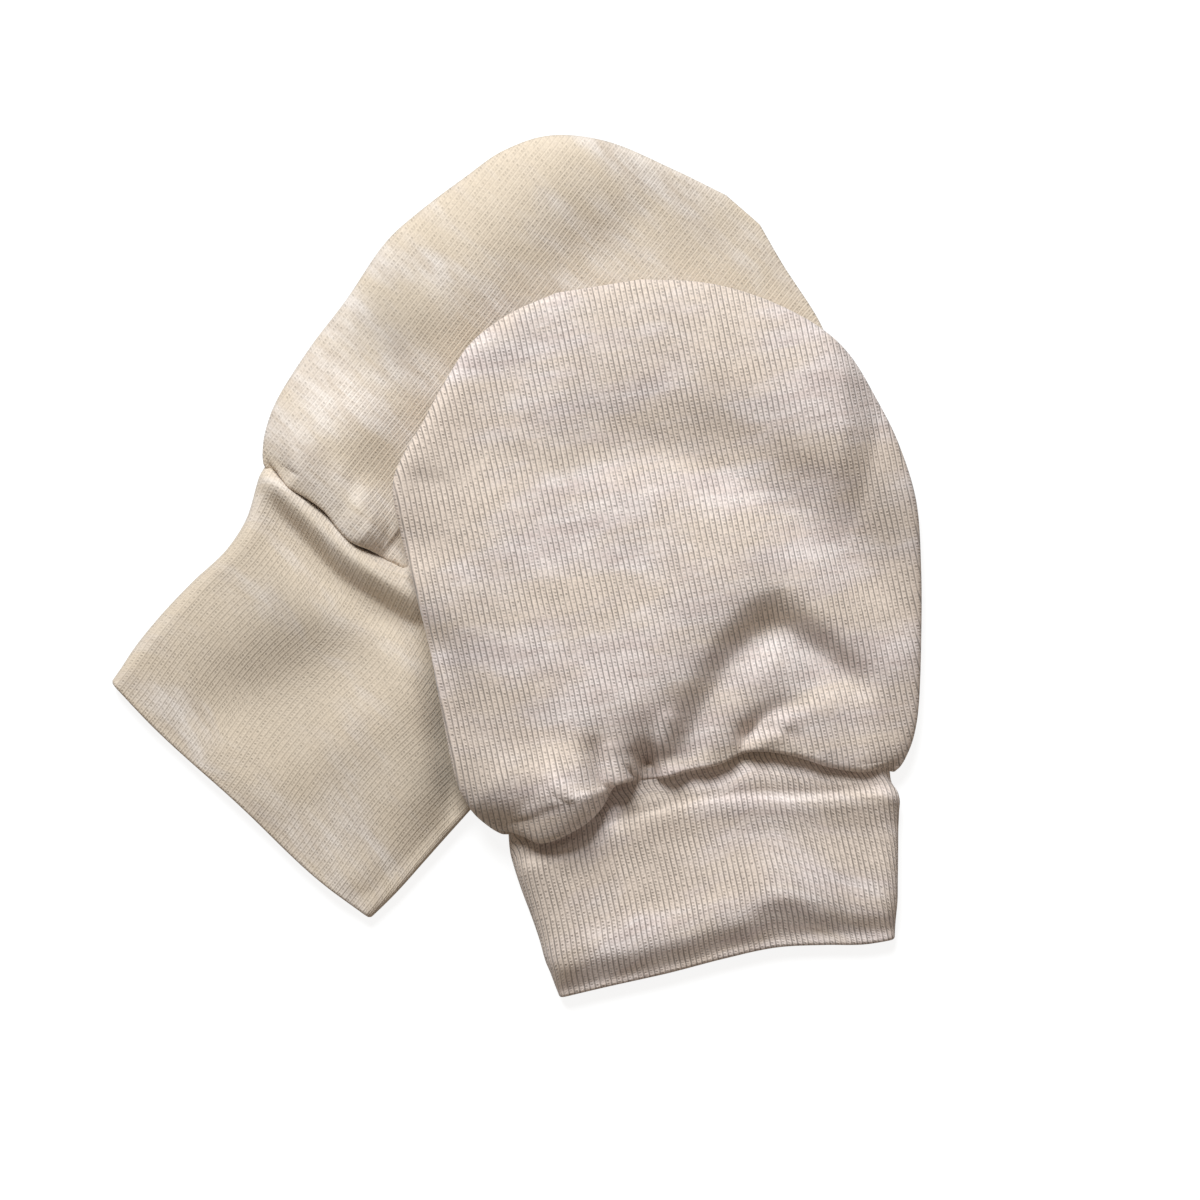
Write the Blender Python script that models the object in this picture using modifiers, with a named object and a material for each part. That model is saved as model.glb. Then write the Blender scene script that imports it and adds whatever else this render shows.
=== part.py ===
"""A pair of baby mittens in fine wool jersey, laid flat, the front one lying partly on the back one.

Each mitten is cut as a top panel, an under panel and a cuff. The two panels are sewn round the hand
and gathered a little into the cuff, which is a band of the same cloth folded double.
Tables and named sizes are in millimetres. The scene is in metres, +Z up, origin under the middle.
"""

import math
from collections import namedtuple

import bmesh
import bpy
import numpy as np
from mathutils import Vector
from mathutils.bvhtree import BVHTree

MM = 0.001

# Cloth
PANEL_WALL = 1.0        # one layer of jersey with its seam allowance's bulk
CUFF_WALL = 1.2         # the cuff's cloth is folded double
SEAM_GAP = 0.3          # clearance where two pieces are sewn together
WRIST_GAP = 0.45        # the same at the wrist, along the mitten, where the seam runs at a slant
SIDE_SEAM_HEIGHT = 1.9  # height of the seam round the hand above what the mitten lies on
RIM = 0.7               # upright stretch of a panel beside that seam
CUFF_ROOM = 1.1         # slit between the cuff's two lying sides

# Fineness of the meshes
TOP_COLUMNS = 31
TOP_ROWS = 23
ROLL_STEPS = 5
UNDER_COLUMNS = 20
UNDER_ROWS = 19
CUFF_ACROSS = 15
CUFF_CORNER = 3

# Dome of a top panel
SIDE_FULLNESS = 3.0     # higher is flatter in the middle and rounder at the sides
TIP_ROUND = 17.0        # length over which the dome falls to the tip
TIP_FULLNESS = 2.3
EDGE_CROWDING = 0.55    # share of the columns' spacing that crowds towards the sides
SEAM_REACH = 26.0       # length over which the wrist seam's curve fades into straight rows
LIP_REACH = 6.0         # length over which the lip at the seam fades into the dome
LIP_ROOM = 0.9          # least height of a lip over the seam
LIP_TURN = 1.5          # extra height that an overhanging lip needs
SIDE_START = 0.84       # share of the half width where the side of the wrist starts
SIDE_STEP = 3.0         # length of the side seam beside the turned lip
LOW_LIFT = 4.3          # height at which the lip turns where it barely leans over the cuff

# How the front mitten drapes over the back one
DRAPE_CELL = 1.5
DRAPE_REACH = 4.5
DRAPE_MARGIN = 12.0
DRAPE_ROOM = 0.8        # clearance under the draped panel, which crosses humps in flat steps
RAY_START = 60.0

Outline = namedtuple("Outline", "along left right crown")
Wrist = namedtuple("Wrist", "across seam overhang")
Hem = namedtuple("Hem", "across line")
Ledge = namedtuple("Ledge", "across share")
CuffSide = namedtuple("CuffSide", "share left right height")
Fold = namedtuple("Fold", "path height width")
Mitten = namedtuple("Mitten", "name place turn outline wrist lift folds cuff_sides hem ledge cuff_folds press")
Press = namedtuple("Press", "start end share")

FRONT_OUTLINE = (
    Outline(0.0, -30.3, 29.8, 2.6),
    Outline(1.8, -32.6, 31.5, 3.2),
    Outline(5.0, -35.0, 33.4, 4.0),
    Outline(10.0, -36.4, 35.0, 4.4),
    Outline(20.0, -36.8, 37.0, 4.9),
    Outline(30.0, -37.1, 38.6, 5.1),
    Outline(40.0, -37.9, 39.5, 5.1),
    Outline(49.0, -38.6, 38.3, 4.9),
    Outline(56.5, -38.2, 36.0, 4.7),
    Outline(64.0, -32.5, 32.8, 4.5),
    Outline(69.5, -28.2, 28.0, 4.3),
    Outline(74.6, -23.4, 20.6, 4.2),
    Outline(78.0, -17.0, 12.8, 4.1),
    Outline(80.0, -9.5, 3.5, 4.1),
)
BACK_OUTLINE = (
    Outline(0.0, -30.4, 29.8, 3.0),
    Outline(1.8, -32.2, 31.6, 3.6),
    Outline(5.0, -34.2, 33.8, 4.3),
    Outline(10.0, -35.9, 35.9, 4.9),
    Outline(19.0, -37.2, 37.6, 5.0),
    Outline(28.0, -37.8, 38.6, 5.0),
    Outline(38.0, -39.0, 38.8, 4.9),
    Outline(45.0, -38.3, 38.2, 4.8),
    Outline(54.0, -36.4, 36.2, 4.7),
    Outline(61.0, -34.6, 32.6, 4.6),
    Outline(67.5, -30.6, 27.2, 4.5),
    Outline(72.4, -23.4, 19.6, 4.4),
    Outline(75.6, -13.5, 9.0, 4.3),
    Outline(78.0, -4.5, 2.0, 4.3),
)

FRONT_WRIST = (
    Wrist(-31.0, -1.8, 0.8),
    Wrist(-28.0, -0.2, 3.4),
    Wrist(-24.0, 1.8, 5.2),
    Wrist(-19.0, 3.4, 5.4),
    Wrist(-15.5, 4.2, 3.6),
    Wrist(-12.5, 4.6, 0.9),
    Wrist(-7.0, 4.8, 0.8),
    Wrist(1.0, 5.0, 0.8),
    Wrist(8.0, 5.7, 0.8),
    Wrist(14.0, 4.9, 0.8),
    Wrist(20.0, 3.2, 1.8),
    Wrist(26.0, 1.2, 1.8),
    Wrist(30.5, -0.8, 0.8),
)
BACK_WRIST = (
    Wrist(-31.0, -0.3, 0.5),
    Wrist(-26.0, 1.9, 1.4),
    Wrist(-20.0, 3.2, 1.8),
    Wrist(-13.0, 2.8, 2.2),
    Wrist(-9.5, 2.7, 1.0),
    Wrist(-6.0, 3.2, 0.8),
    Wrist(-2.0, 3.9, 0.8),
    Wrist(5.0, 4.4, 1.3),
    Wrist(16.0, 3.8, 1.8),
    Wrist(30.5, -0.3, 0.6),
)

FRONT_FOLDS = (
    Fold(((-37, 54), (-22, 58), (-6, 56), (8, 53), (18, 46), (27, 36)), -1.1, 4.5),
    Fold(((-30, 47), (-8, 47), (8, 42), (20, 32), (32, 26)), 0.7, 4.5),
    Fold(((-24, 14), (-17, 24), (-3, 31), (12, 33.5), (23, 28), (32, 18)), 1.6, 4.5),
    Fold(((-1.5, 8.5), (0.5, 14.5), (4.5, 19.5), (10, 23.5), (16, 24), (22, 19.5), (29, 14.5)), -3.0, 3.0),
    Fold(((2.5, 9.0), (5.0, 13.5), (11.0, 18.0), (17.0, 18.0), (22.0, 14.0)), 1.0, 2.6),
    Fold(((7.5, 7.5), (12.0, 11.8), (19.0, 12.8)), -1.6, 2.0),
    Fold(((11.5, 7.0), (18.0, 9.0), (26.0, 9.5), (31.0, 5.5)), 1.5, 3.0),
    Fold(((17.0, 2.0), (24.0, 2.0), (29.0, 3.0)), 1.4, 3.5),
    Fold(((-9.0, 6.5), (-8.2, 10.5), (-9.0, 14.5)), -3.2, 3.2),
    Fold(((-26.0, 0.5), (-20.0, 2.5), (-16.5, 6.5), (-15.0, 11.0)), 3.4, 5.0),
)
BACK_FOLDS = (
    Fold(((-31, 9), (-22, 10), (-13, 6)), 1.7, 6.0),
    Fold(((-6.5, 3.5), (-5.0, 7.5), (-3.0, 11.0)), -2.2, 2.8),
    Fold(((-30, 25), (-20, 33), (-6, 36)), -0.8, 6.0),
    Fold(((-28, 46), (-10, 56), (8, 60)), 0.6, 7.0),
)

FRONT_CUFF_SIDES = (
    CuffSide(0.00, -29.6, 28.6, 2.9),
    CuffSide(0.12, -29.8, 28.6, 2.8),
    CuffSide(0.19, -30.0, 28.7, 2.7),
    CuffSide(0.225, -30.3, 29.4, 4.0),
    CuffSide(0.26, -30.2, 29.7, 4.9),
    CuffSide(0.35, -29.5, 29.4, 4.6),
    CuffSide(0.50, -28.4, 28.6, 4.0),
    CuffSide(0.68, -27.5, 27.7, 3.7),
    CuffSide(0.86, -27.2, 26.9, 3.5),
    CuffSide(1.00, -26.2, 26.2, 3.3),
)
BACK_CUFF_SIDES = (
    CuffSide(0.00, -30.2, 29.6, 3.3),
    CuffSide(0.04, -29.9, 29.3, 3.7),
    CuffSide(0.09, -29.2, 28.8, 3.5),
    CuffSide(0.14, -28.4, 28.3, 3.0),
    CuffSide(0.22, -27.2, 27.7, 3.1),
    CuffSide(0.36, -26.3, 27.2, 3.3),
    CuffSide(0.54, -27.0, 27.0, 3.2),
    CuffSide(0.72, -27.3, 26.9, 3.0),
    CuffSide(0.88, -27.0, 26.8, 3.0),
    CuffSide(1.00, -26.4, 26.4, 3.0),
)
FRONT_HEM = (
    Hem(-27.0, -25.9),
    Hem(-20.0, -25.4),
    Hem(-10.0, -24.8),
    Hem(0.0, -23.9),
    Hem(8.0, -23.6),
    Hem(15.0, -24.4),
    Hem(21.0, -25.3),
    Hem(27.0, -25.3),
)
BACK_HEM = (
    Hem(-27.0, -39.6),
    Hem(-18.0, -40.5),
    Hem(0.0, -40.9),
    Hem(18.0, -41.6),
    Hem(27.0, -40.9),
)
# How much of the cuff's rises and dips in the tables above stands at each place across it
FRONT_LEDGE = (
    Ledge(-29.0, 0.45),
    Ledge(-16.0, 0.50),
    Ledge(-4.0, 0.65),
    Ledge(8.0, 0.85),
    Ledge(29.0, 1.00),
)
BACK_LEDGE = (
    Ledge(-29.0, 1.0),
    Ledge(29.0, 1.0),
)
FRONT_CUFF_FOLDS = (
    Fold(((8, -17.5), (19, -16.5)), 1.1, 4.5),
    Fold(((-14, -8.5), (-4, -7), (8, -7.5)), -0.5, 3.0),
)
BACK_CUFF_FOLDS = (
    Fold(((-19, -34), (-12, -26), (-6, -15)), -0.5, 4.5),
    Fold(((-22, -14), (-16, -22), (-18, -30)), 0.5, 4.5),
    Fold(((4, -12), (6, -24), (2, -34)), 0.5, 5.0),
)

BACK = Mitten("back_mitten", (-15.8, -5.4), -41.0, BACK_OUTLINE, BACK_WRIST, 5.3, BACK_FOLDS,
              BACK_CUFF_SIDES, BACK_HEM, BACK_LEDGE, BACK_CUFF_FOLDS, Press(-30.0, -11.0, 0.65))
FRONT = Mitten("front_mitten", (28.4, -36.2), 9.3, FRONT_OUTLINE, FRONT_WRIST, 4.9, FRONT_FOLDS,
               FRONT_CUFF_SIDES, FRONT_HEM, FRONT_LEDGE, FRONT_CUFF_FOLDS, Press(40.0, 60.0, 0.0))


def smooth_step(low, high, at):
    share = np.clip((at - low) / (high - low), 0.0, 1.0)
    return share * share * (3.0 - 2.0 * share)


def curve(knots, values, at):
    """A smooth curve through the knots, read at every place in `at`, level past its ends."""
    knots = np.asarray(knots, dtype=float)
    values = np.asarray(values, dtype=float)
    slopes = np.gradient(values, knots)
    at = np.clip(at, knots[0], knots[-1])
    cell = np.clip(np.searchsorted(knots, at, side="right") - 1, 0, len(knots) - 2)
    step = knots[cell + 1] - knots[cell]
    f = (at - knots[cell]) / step
    rise = f * f * (3.0 - 2.0 * f)
    start = values[cell] * (1.0 - rise) + values[cell + 1] * rise
    return start + step * f * (1.0 - f) * (slopes[cell] * (1.0 - f) - slopes[cell + 1] * f)


def column(table, name):
    return [getattr(row, name) for row in table]


def read(table, key, name, at):
    return curve(column(table, key), column(table, name), at)


def outline_at(table, name, place):
    """A column of the outline, read at a place counted in rows of the table."""
    return curve(np.arange(len(table)), column(table, name), place)


def even_places(table, count):
    """Places along the outline that lie evenly along the edge, from the wrist to the tip."""
    fine = np.linspace(0.0, len(table) - 1.0, 400)
    along = outline_at(table, "along", fine)
    half = (outline_at(table, "right", fine) - outline_at(table, "left", fine)) / 2.0
    length = np.concatenate(([0.0], np.cumsum(np.hypot(np.diff(along), np.diff(half)))))
    return np.interp(np.linspace(0.0, length[-1], count), length, fine)


def fold_height(folds, u, v):
    """Sum of the soft ridges and troughs at each place, each one a bell round its path."""
    total = np.zeros_like(u)
    for fold in folds:
        nearest = np.full_like(u, np.inf)
        for (u0, v0), (u1, v1) in zip(fold.path, fold.path[1:]):
            du = u1 - u0
            dv = v1 - v0
            f = np.clip(((u - u0) * du + (v - v0) * dv) / (du * du + dv * dv), 0.0, 1.0)
            nearest = np.minimum(nearest, np.hypot(u - u0 - f * du, v - v0 - f * dv))
        total += fold.height * np.exp(-((nearest / fold.width) ** 2))
    return total


def side_columns(count):
    """Shares of the half width from -1 to 1, closer together towards the sides."""
    even = np.linspace(-1.0, 1.0, count)
    return even * (1.0 - EDGE_CROWDING) + EDGE_CROWDING * np.sin(even * math.pi / 2.0)


def ahead_of(mitten, place, distance):
    """The place on the outline that lies a distance further from the wrist."""
    fine = np.linspace(0.0, len(mitten.outline) - 1.0, 400)
    along = outline_at(mitten.outline, "along", fine)
    here = outline_at(mitten.outline, "along", place)
    return np.where(distance > 0.0, np.interp(here + distance, along, fine), place)


def side_of(share):
    """0 over most of the width, rising to 1 at the seam round the hand."""
    return smooth_step(SIDE_START, 1.0, np.abs(share))


def plan_of(mitten, share, place):
    """Where a share of the width at a place along the outline lies, seen from above."""
    left = outline_at(mitten.outline, "left", place)
    right = outline_at(mitten.outline, "right", place)
    along = outline_at(mitten.outline, "along", place)
    u = (left + right) / 2.0 + share * (right - left) / 2.0
    fade = np.clip(1.0 - along / SEAM_REACH, 0.0, 1.0) ** 2
    seam = read(mitten.wrist, "across", "seam", u) + WRIST_GAP / 2.0
    return u, along + seam * fade, along


def dome(mitten, share, place):
    """Height of the top panel's middle surface above what the mitten lies on."""
    u, v, along = plan_of(mitten, share, place)
    tip = mitten.outline[-1].along
    across = np.sqrt(np.clip(1.0 - np.abs(share) ** SIDE_FULLNESS, 0.0, 1.0))
    to_tip = 1.0 - np.clip((tip - along) / TIP_ROUND, 0.0, 1.0)
    towards = np.sqrt(np.clip(1.0 - to_tip ** TIP_FULLNESS, 0.0, 1.0))
    pressed = 1.0 - mitten.press.share * smooth_step(mitten.press.start, mitten.press.end, u)
    rim_top = SIDE_SEAM_HEIGHT + SEAM_GAP / 2.0 + RIM
    crown = outline_at(mitten.outline, "crown", place) * pressed
    folds = fold_height(mitten.folds, u, v) * pressed * across * towards
    return rim_top + crown * across * towards + folds


def lip(mitten, share):
    """How far the lip at the wrist leans over the cuff, where it starts to turn, and its top."""
    at_seam = np.zeros_like(share)
    u, _, _ = plan_of(mitten, share, at_seam)
    middle = 1.0 - side_of(share)
    overhang = read(mitten.wrist, "across", "overhang", u) * middle
    leaning = np.clip(overhang / LIP_TURN, 0.0, 1.0)
    rim_top = SIDE_SEAM_HEIGHT + SEAM_GAP / 2.0 + RIM
    lift = (LOW_LIFT + (mitten.lift - LOW_LIFT) * leaning) * middle + rim_top * (1.0 - middle)
    need = lift + (LIP_ROOM + LIP_TURN * leaning) * middle
    return overhang, lift, np.maximum(dome(mitten, share, at_seam), need)


def top_surface(mitten, columns, rows, roll):
    """The top panel's middle surface, from the seam at the wrist, over the turned lip, to the tip."""
    share = side_columns(columns)
    side = side_of(share)
    overhang, lift, lip_top = lip(mitten, share)
    lip_start = SIDE_SEAM_HEIGHT + SEAM_GAP / 2.0
    inside = PANEL_WALL / 2.0
    u, v, _ = plan_of(mitten, share, np.zeros_like(share))
    grid = [np.stack((u, v + inside, np.full_like(u, lip_start + RIM / 2.0)), axis=1)]
    for step in range(roll):
        turn = math.pi * step / roll
        place = ahead_of(mitten, np.zeros_like(share), SIDE_STEP * side * (step + 0.5) / roll)
        u, v, _ = plan_of(mitten, share, place)
        out = v + inside - overhang * math.sin(turn)
        up = lift + (lip_top - lift) * (1.0 - math.cos(turn)) / 2.0
        grid.append(np.stack((u, out, up), axis=1))
    raised = lip_top - dome(mitten, share, np.zeros_like(share))
    for place in even_places(mitten.outline, rows):
        start = outline_at(mitten.outline, "along", place)
        fade = np.clip(1.0 - start / SEAM_REACH, 0.0, 1.0) ** 2
        here = ahead_of(mitten, np.full_like(share, place), SIDE_STEP * side * fade)
        u, v, _ = plan_of(mitten, share, here)
        v = v + inside * np.clip(1.0 - start / LIP_REACH, 0.0, 1.0)
        z = dome(mitten, share, here) + raised * np.exp(-((start / LIP_REACH) ** 2))
        grid.append(np.stack((u, v, z), axis=1))
    grid.append(grid[-1].copy())
    grid = np.array(grid)
    grid[-1, :, 2] -= RIM
    grid = np.concatenate((grid[:, :1], grid, grid[:, -1:]), axis=1)
    grid[:, (0, -1), 2] = lip_start
    return grid


def under_surface(mitten, columns, rows):
    """The under panel's middle surface: flat, with its edge turned up to the seam round the hand."""
    floor = PANEL_WALL / 2.0
    edge_top = SIDE_SEAM_HEIGHT - SEAM_GAP / 2.0
    # how far in from the edge each outer row lies, and its height
    turn_up = ((0.0, edge_top), (0.0, edge_top - 0.5), (0.35, floor + 0.25), (1.3, floor))
    inset = [step[0] for step in turn_up]
    places = even_places(mitten.outline, rows - len(turn_up) + 1)[:-1]
    grid = []
    half = (mitten.outline[5].right - mitten.outline[5].left) / 2.0
    inner = np.linspace(-1.0, 1.0, columns - 2 * len(turn_up) + 2)[1:-1]
    outer = np.array([1.0 - distance / half for distance in inset])
    share = np.concatenate((-outer, inner * outer[-1], outer[::-1]))
    heights = np.array([step[1] for step in turn_up])
    across = np.concatenate((heights, np.full(len(inner), floor), heights[::-1]))
    for place in places:
        u, v, _ = plan_of(mitten, share, np.full_like(share, place))
        grid.append(np.stack((u, v, across), axis=1))
    for distance, height in reversed(turn_up):
        u, v, _ = plan_of(mitten, share, np.full_like(share, len(mitten.outline) - 1.0))
        grid.append(np.stack((u, v - distance, np.maximum(across, height)), axis=1))
    return np.array(grid)


def cuff_surface(mitten, across, corner):
    """The cuff's middle surface: flat rings from the wrist seam to the hem, the floor side first."""
    floor = CUFF_WALL / 2.0
    plain = mitten.cuff_sides[0].height
    turns = math.pi * np.arange(1, corner + 1) / (corner + 1)
    rings = []
    for side in mitten.cuff_sides:
        bend = (side.height - floor) / 2.0
        flat = np.linspace(side.left + bend, side.right - bend, across)
        u = np.concatenate((flat, flat[-1] + bend * np.sin(turns), flat[::-1], flat[0] - bend * np.sin(turns)))
        seam = read(mitten.wrist, "across", "seam", u) - WRIST_GAP / 2.0
        v = seam + (read(mitten.hem, "across", "line", u) - seam) * side.share
        lying = np.full(across, floor)
        strength = read(mitten.ledge, "across", "share", flat)
        folds = fold_height(mitten.cuff_folds, flat, v[:across])
        top = plain + (side.height - plain) * strength + folds
        top = np.maximum(top, floor + CUFF_WALL + CUFF_ROOM / 2.0)
        right = floor + (top[-1] - floor) * (1.0 - np.cos(turns)) / 2.0
        left = floor + (top[0] - floor) * (1.0 + np.cos(turns)) / 2.0
        z = np.concatenate((lying, right, top[::-1], left))
        rings.append(np.stack((u, v, z), axis=1))
    return np.array(rings)


def to_world(mitten, u, v):
    turn = math.radians(mitten.turn)
    x = mitten.place[0] + u * math.cos(turn) - v * math.sin(turn)
    y = mitten.place[1] + u * math.sin(turn) + v * math.cos(turn)
    return x, y


def to_mitten(mitten, x, y):
    turn = math.radians(mitten.turn)
    x = x - mitten.place[0]
    y = y - mitten.place[1]
    return x * math.cos(turn) + y * math.sin(turn), y * math.cos(turn) - x * math.sin(turn)


def shifted(field, rows, columns):
    """The field moved by whole cells, its edge values repeated."""
    take_rows = np.clip(np.arange(field.shape[0]) - rows, 0, field.shape[0] - 1)
    take_columns = np.clip(np.arange(field.shape[1]) - columns, 0, field.shape[1] - 1)
    return field[take_rows][:, take_columns]


def drape_field(mitten, below, pieces):
    """Height of the cloth laid over the pieces of the mitten below, on a grid over this mitten."""
    side = max(row.right for row in mitten.outline) + DRAPE_MARGIN
    low = mitten.hem[0].line - DRAPE_MARGIN
    high = mitten.outline[-1].along + DRAPE_MARGIN
    us = np.arange(-side, side, DRAPE_CELL)
    vs = np.arange(low, high, DRAPE_CELL)
    depsgraph = bpy.context.evaluated_depsgraph_get()
    trees = [BVHTree.FromObject(piece, depsgraph) for piece in pieces]
    field = np.zeros((len(vs), len(us)))
    for row, v in enumerate(vs):
        for col, u in enumerate(us):
            bu, bv = to_mitten(below, *to_world(mitten, u, v))
            for tree in trees:
                hit = tree.ray_cast(Vector((bu, bv, RAY_START)) * MM, Vector((0.0, 0.0, -1.0)))[0]
                if hit is not None:
                    field[row, col] = max(field[row, col], hit.z / MM + DRAPE_ROOM)
    reach = int(round(DRAPE_REACH / DRAPE_CELL))
    disc = [(r, c) for r in range(-reach, reach + 1) for c in range(-reach, reach + 1)
            if r * r + c * c <= reach * reach]
    field = np.max([shifted(field, r, c) for r, c in disc], axis=0)
    field = np.mean([shifted(field, r, c) for r, c in disc], axis=0)
    return us, vs, field


def lay_on(grid, drape):
    """Raises a surface by the drape's height at each of its points."""
    us, vs, field = drape
    col = np.clip((grid[..., 0] - us[0]) / DRAPE_CELL, 0.0, len(us) - 1.001)
    row = np.clip((grid[..., 1] - vs[0]) / DRAPE_CELL, 0.0, len(vs) - 1.001)
    c = col.astype(int)
    r = row.astype(int)
    fc = col - c
    fr = row - r
    near = field[r, c] * (1 - fc) + field[r, c + 1] * fc
    far = field[r + 1, c] * (1 - fc) + field[r + 1, c + 1] * fc
    laid = grid.copy()
    laid[..., 2] += near * (1 - fr) + far * fr
    return laid


def cloth_material(name, color, roughness):
    material = bpy.data.materials.new(name)
    material.use_nodes = True
    shader = material.node_tree.nodes["Principled BSDF"]
    shader.inputs["Base Color"].default_value = (*color, 1.0)
    shader.inputs["Roughness"].default_value = roughness
    shader.inputs["Metallic"].default_value = 0.0
    return material


def loft(name, grid, closed, wall, material, parent, collection):
    """One piece of cloth: faces between the rows of a grid, given the thickness of its wall."""
    mesh = bpy.data.meshes.new(name)
    work = bmesh.new()
    rows = [[work.verts.new(Vector(point) * MM) for point in row] for row in grid.tolist()]
    for row, following in zip(rows, rows[1:]):
        pairs = list(zip(range(len(row)), range(1, len(row))))
        if closed:
            pairs.append((len(row) - 1, 0))
        for a, b in pairs:
            work.faces.new((row[a], row[b], following[b], following[a]))
    bmesh.ops.remove_doubles(work, verts=work.verts, dist=1e-6)
    work.to_mesh(mesh)
    work.free()
    mesh.shade_smooth()
    mesh.materials.append(material)
    piece = bpy.data.objects.new(name, mesh)
    collection.objects.link(piece)
    piece.parent = parent
    wall_maker = piece.modifiers.new("Cloth wall", "SOLIDIFY")
    wall_maker.thickness = wall * MM
    wall_maker.offset = 0.0
    wall_maker.use_even_offset = False
    return piece


def mitten_frame(mitten, collection):
    """The empty that places a mitten: its origin is the middle of the wrist seam, +Y to the tip."""
    frame = bpy.data.objects.new(mitten.name, None)
    collection.objects.link(frame)
    frame.location = (mitten.place[0] * MM, mitten.place[1] * MM, 0.0)
    frame.rotation_euler = (0.0, 0.0, math.radians(mitten.turn))
    return frame


def build_mitten(mitten, collection, color, drape=None):
    frame = mitten_frame(mitten, collection)
    top = top_surface(mitten, TOP_COLUMNS, TOP_ROWS, ROLL_STEPS)
    under = under_surface(mitten, UNDER_COLUMNS, UNDER_ROWS)
    cuff = cuff_surface(mitten, CUFF_ACROSS, CUFF_CORNER)
    if drape is not None:
        top = lay_on(top, drape)
        under = lay_on(under, drape)
        cuff = lay_on(cuff, drape)
    pieces = {}
    for part, grid, closed, wall in (
        ("top_panel", top, False, PANEL_WALL),
        ("under_panel", under[:, ::-1], False, PANEL_WALL),
        ("cuff", cuff, True, CUFF_WALL),
    ):
        name = f"{mitten.name}_{part}"
        material = cloth_material(f"{name}_jersey", color, 0.9)
        pieces[part] = loft(name, grid, closed, wall, material, frame, collection)
    return pieces


def main():
    for old in list(bpy.data.objects):
        bpy.data.objects.remove(old, do_unlink=True)
    collection = bpy.data.collections.new("baby_mittens")
    bpy.context.scene.collection.children.link(collection)
    back = build_mitten(BACK, collection, (0.62, 0.52, 0.40))
    bpy.context.view_layer.update()
    drape = drape_field(FRONT, BACK, (back["top_panel"], back["cuff"]))
    build_mitten(FRONT, collection, (0.66, 0.55, 0.46), drape)


main()
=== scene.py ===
"""A pair of baby mittens in fine heathered jersey, laid flat, the front one draped partly over the back one.

Each mitten is a top panel and an under panel sewn together round the hand, and a cuff of the same cloth
folded double. The tables hold the real sizes in millimetres, in each mitten's own frame: across to the
right and along from the wrist seam to the tip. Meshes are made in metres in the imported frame.
"""

import math
from collections import namedtuple

import bmesh
import bpy
import numpy as np
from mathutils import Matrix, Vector
from mathutils.bvhtree import BVHTree


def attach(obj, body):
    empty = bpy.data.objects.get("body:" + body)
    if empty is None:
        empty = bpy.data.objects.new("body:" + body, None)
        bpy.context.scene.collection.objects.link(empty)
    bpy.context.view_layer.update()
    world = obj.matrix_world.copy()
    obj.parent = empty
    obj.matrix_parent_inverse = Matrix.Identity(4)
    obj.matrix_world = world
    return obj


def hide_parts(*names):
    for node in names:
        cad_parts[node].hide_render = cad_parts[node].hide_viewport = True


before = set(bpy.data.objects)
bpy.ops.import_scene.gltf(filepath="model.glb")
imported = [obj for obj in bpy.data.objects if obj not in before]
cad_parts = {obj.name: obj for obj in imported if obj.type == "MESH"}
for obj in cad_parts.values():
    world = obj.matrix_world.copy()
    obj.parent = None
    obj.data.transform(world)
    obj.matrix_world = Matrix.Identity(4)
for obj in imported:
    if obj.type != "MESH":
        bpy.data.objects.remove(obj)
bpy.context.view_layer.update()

bl_info = {
    "name": "Baby Mittens",
    "version": (1, 0, 0),
    "blender": (4, 5, 0),
    "location": "3D View > Sidebar > Mittens",
    "description": "Builds a pair of laid-out baby mittens in heathered jersey, with its stage",
    "category": "Add Mesh",
}

MM = 0.001

# Form of the hand's panels
RIM_TOP = 2.75
LOWEST_TOP = 1.7
SIDE_FULLNESS = 3.0
TIP_ROUND = 17.0
TIP_FULLNESS = 2.3
SEAM_REACH = 26.0
SIDE_START = 0.84
SIDE_STEP = 3.0
UNDER_EDGE_BEND = 0.9
UNDER_FOLD_START = 8.0
TOP_SEAM_HEIGHT = 2.1
UNDER_SEAM_HEIGHT = 1.7

# Wrist: how high the lip lies, how it rolls over the cuff, and the gathers at the seam
LOW_LIFT = 3.6
LEAST_LIFT = 2.6
LIFT_BELOW_TOP = 0.9
LIP_THICKNESS = 0.4
LEANING_LIP = 1.8
LIP_FOOT = 2.2
LIP_TURN = 2.6
LIP_REACH = 5.0
TUCK_IN = 1.6
WRIST_GAP = 0.35
GATHER_HEIGHT = 0.28
GATHER_REACH = 4.0

# Corners of the wrist, where the hand widens
CORNER_START = 0.4
CORNER_FULL = 0.7
CORNER_DEPTH = 3.0
EASE_ROWS = 7.0
EASE_PASSES = 120
EASE_PULL = 0.1
CORNER_PULL = 0.4

# Cuff: its waviness, and how its folds fade at its two sides
CUFF_WAVINESS = 0.7
CUFF_WAVE_SHIFT = 3.0
CUFF_SIDE_REACH = 2.0
CUFF_SIDE_FOLDS = 0.4
CUFF_ROOM = 0.2
CUFF_SOFTNESS = 0.15

# Loops of the knit, in shares of a wale and of a course: how steeply they lean, and the hole in each
LEG_SLANT = 0.4
HOLE_ACROSS = 0.6
HOLE_WIDTH = 0.24
HOLE_HEIGHT = 0.36

# Stage
FRAME_WIDTH = 0.1848
FRAME_MIDDLE = (0.0127, -0.0054)
SENSOR = 36.0
CAMERA_HEIGHT = 1.25
KEY_PLACE = (-0.29, 1.07, 0.97)
KEY_SIZE = 0.8
KEY_COLOR = (0.9, 0.955, 1.0)
ROOM_COLOR = (1.0, 0.88, 0.76, 1.0)
FLOOR_COLOR = (0.25, 0.25, 0.25, 1.0)
FLOOR_GLOW = 0.86

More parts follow.
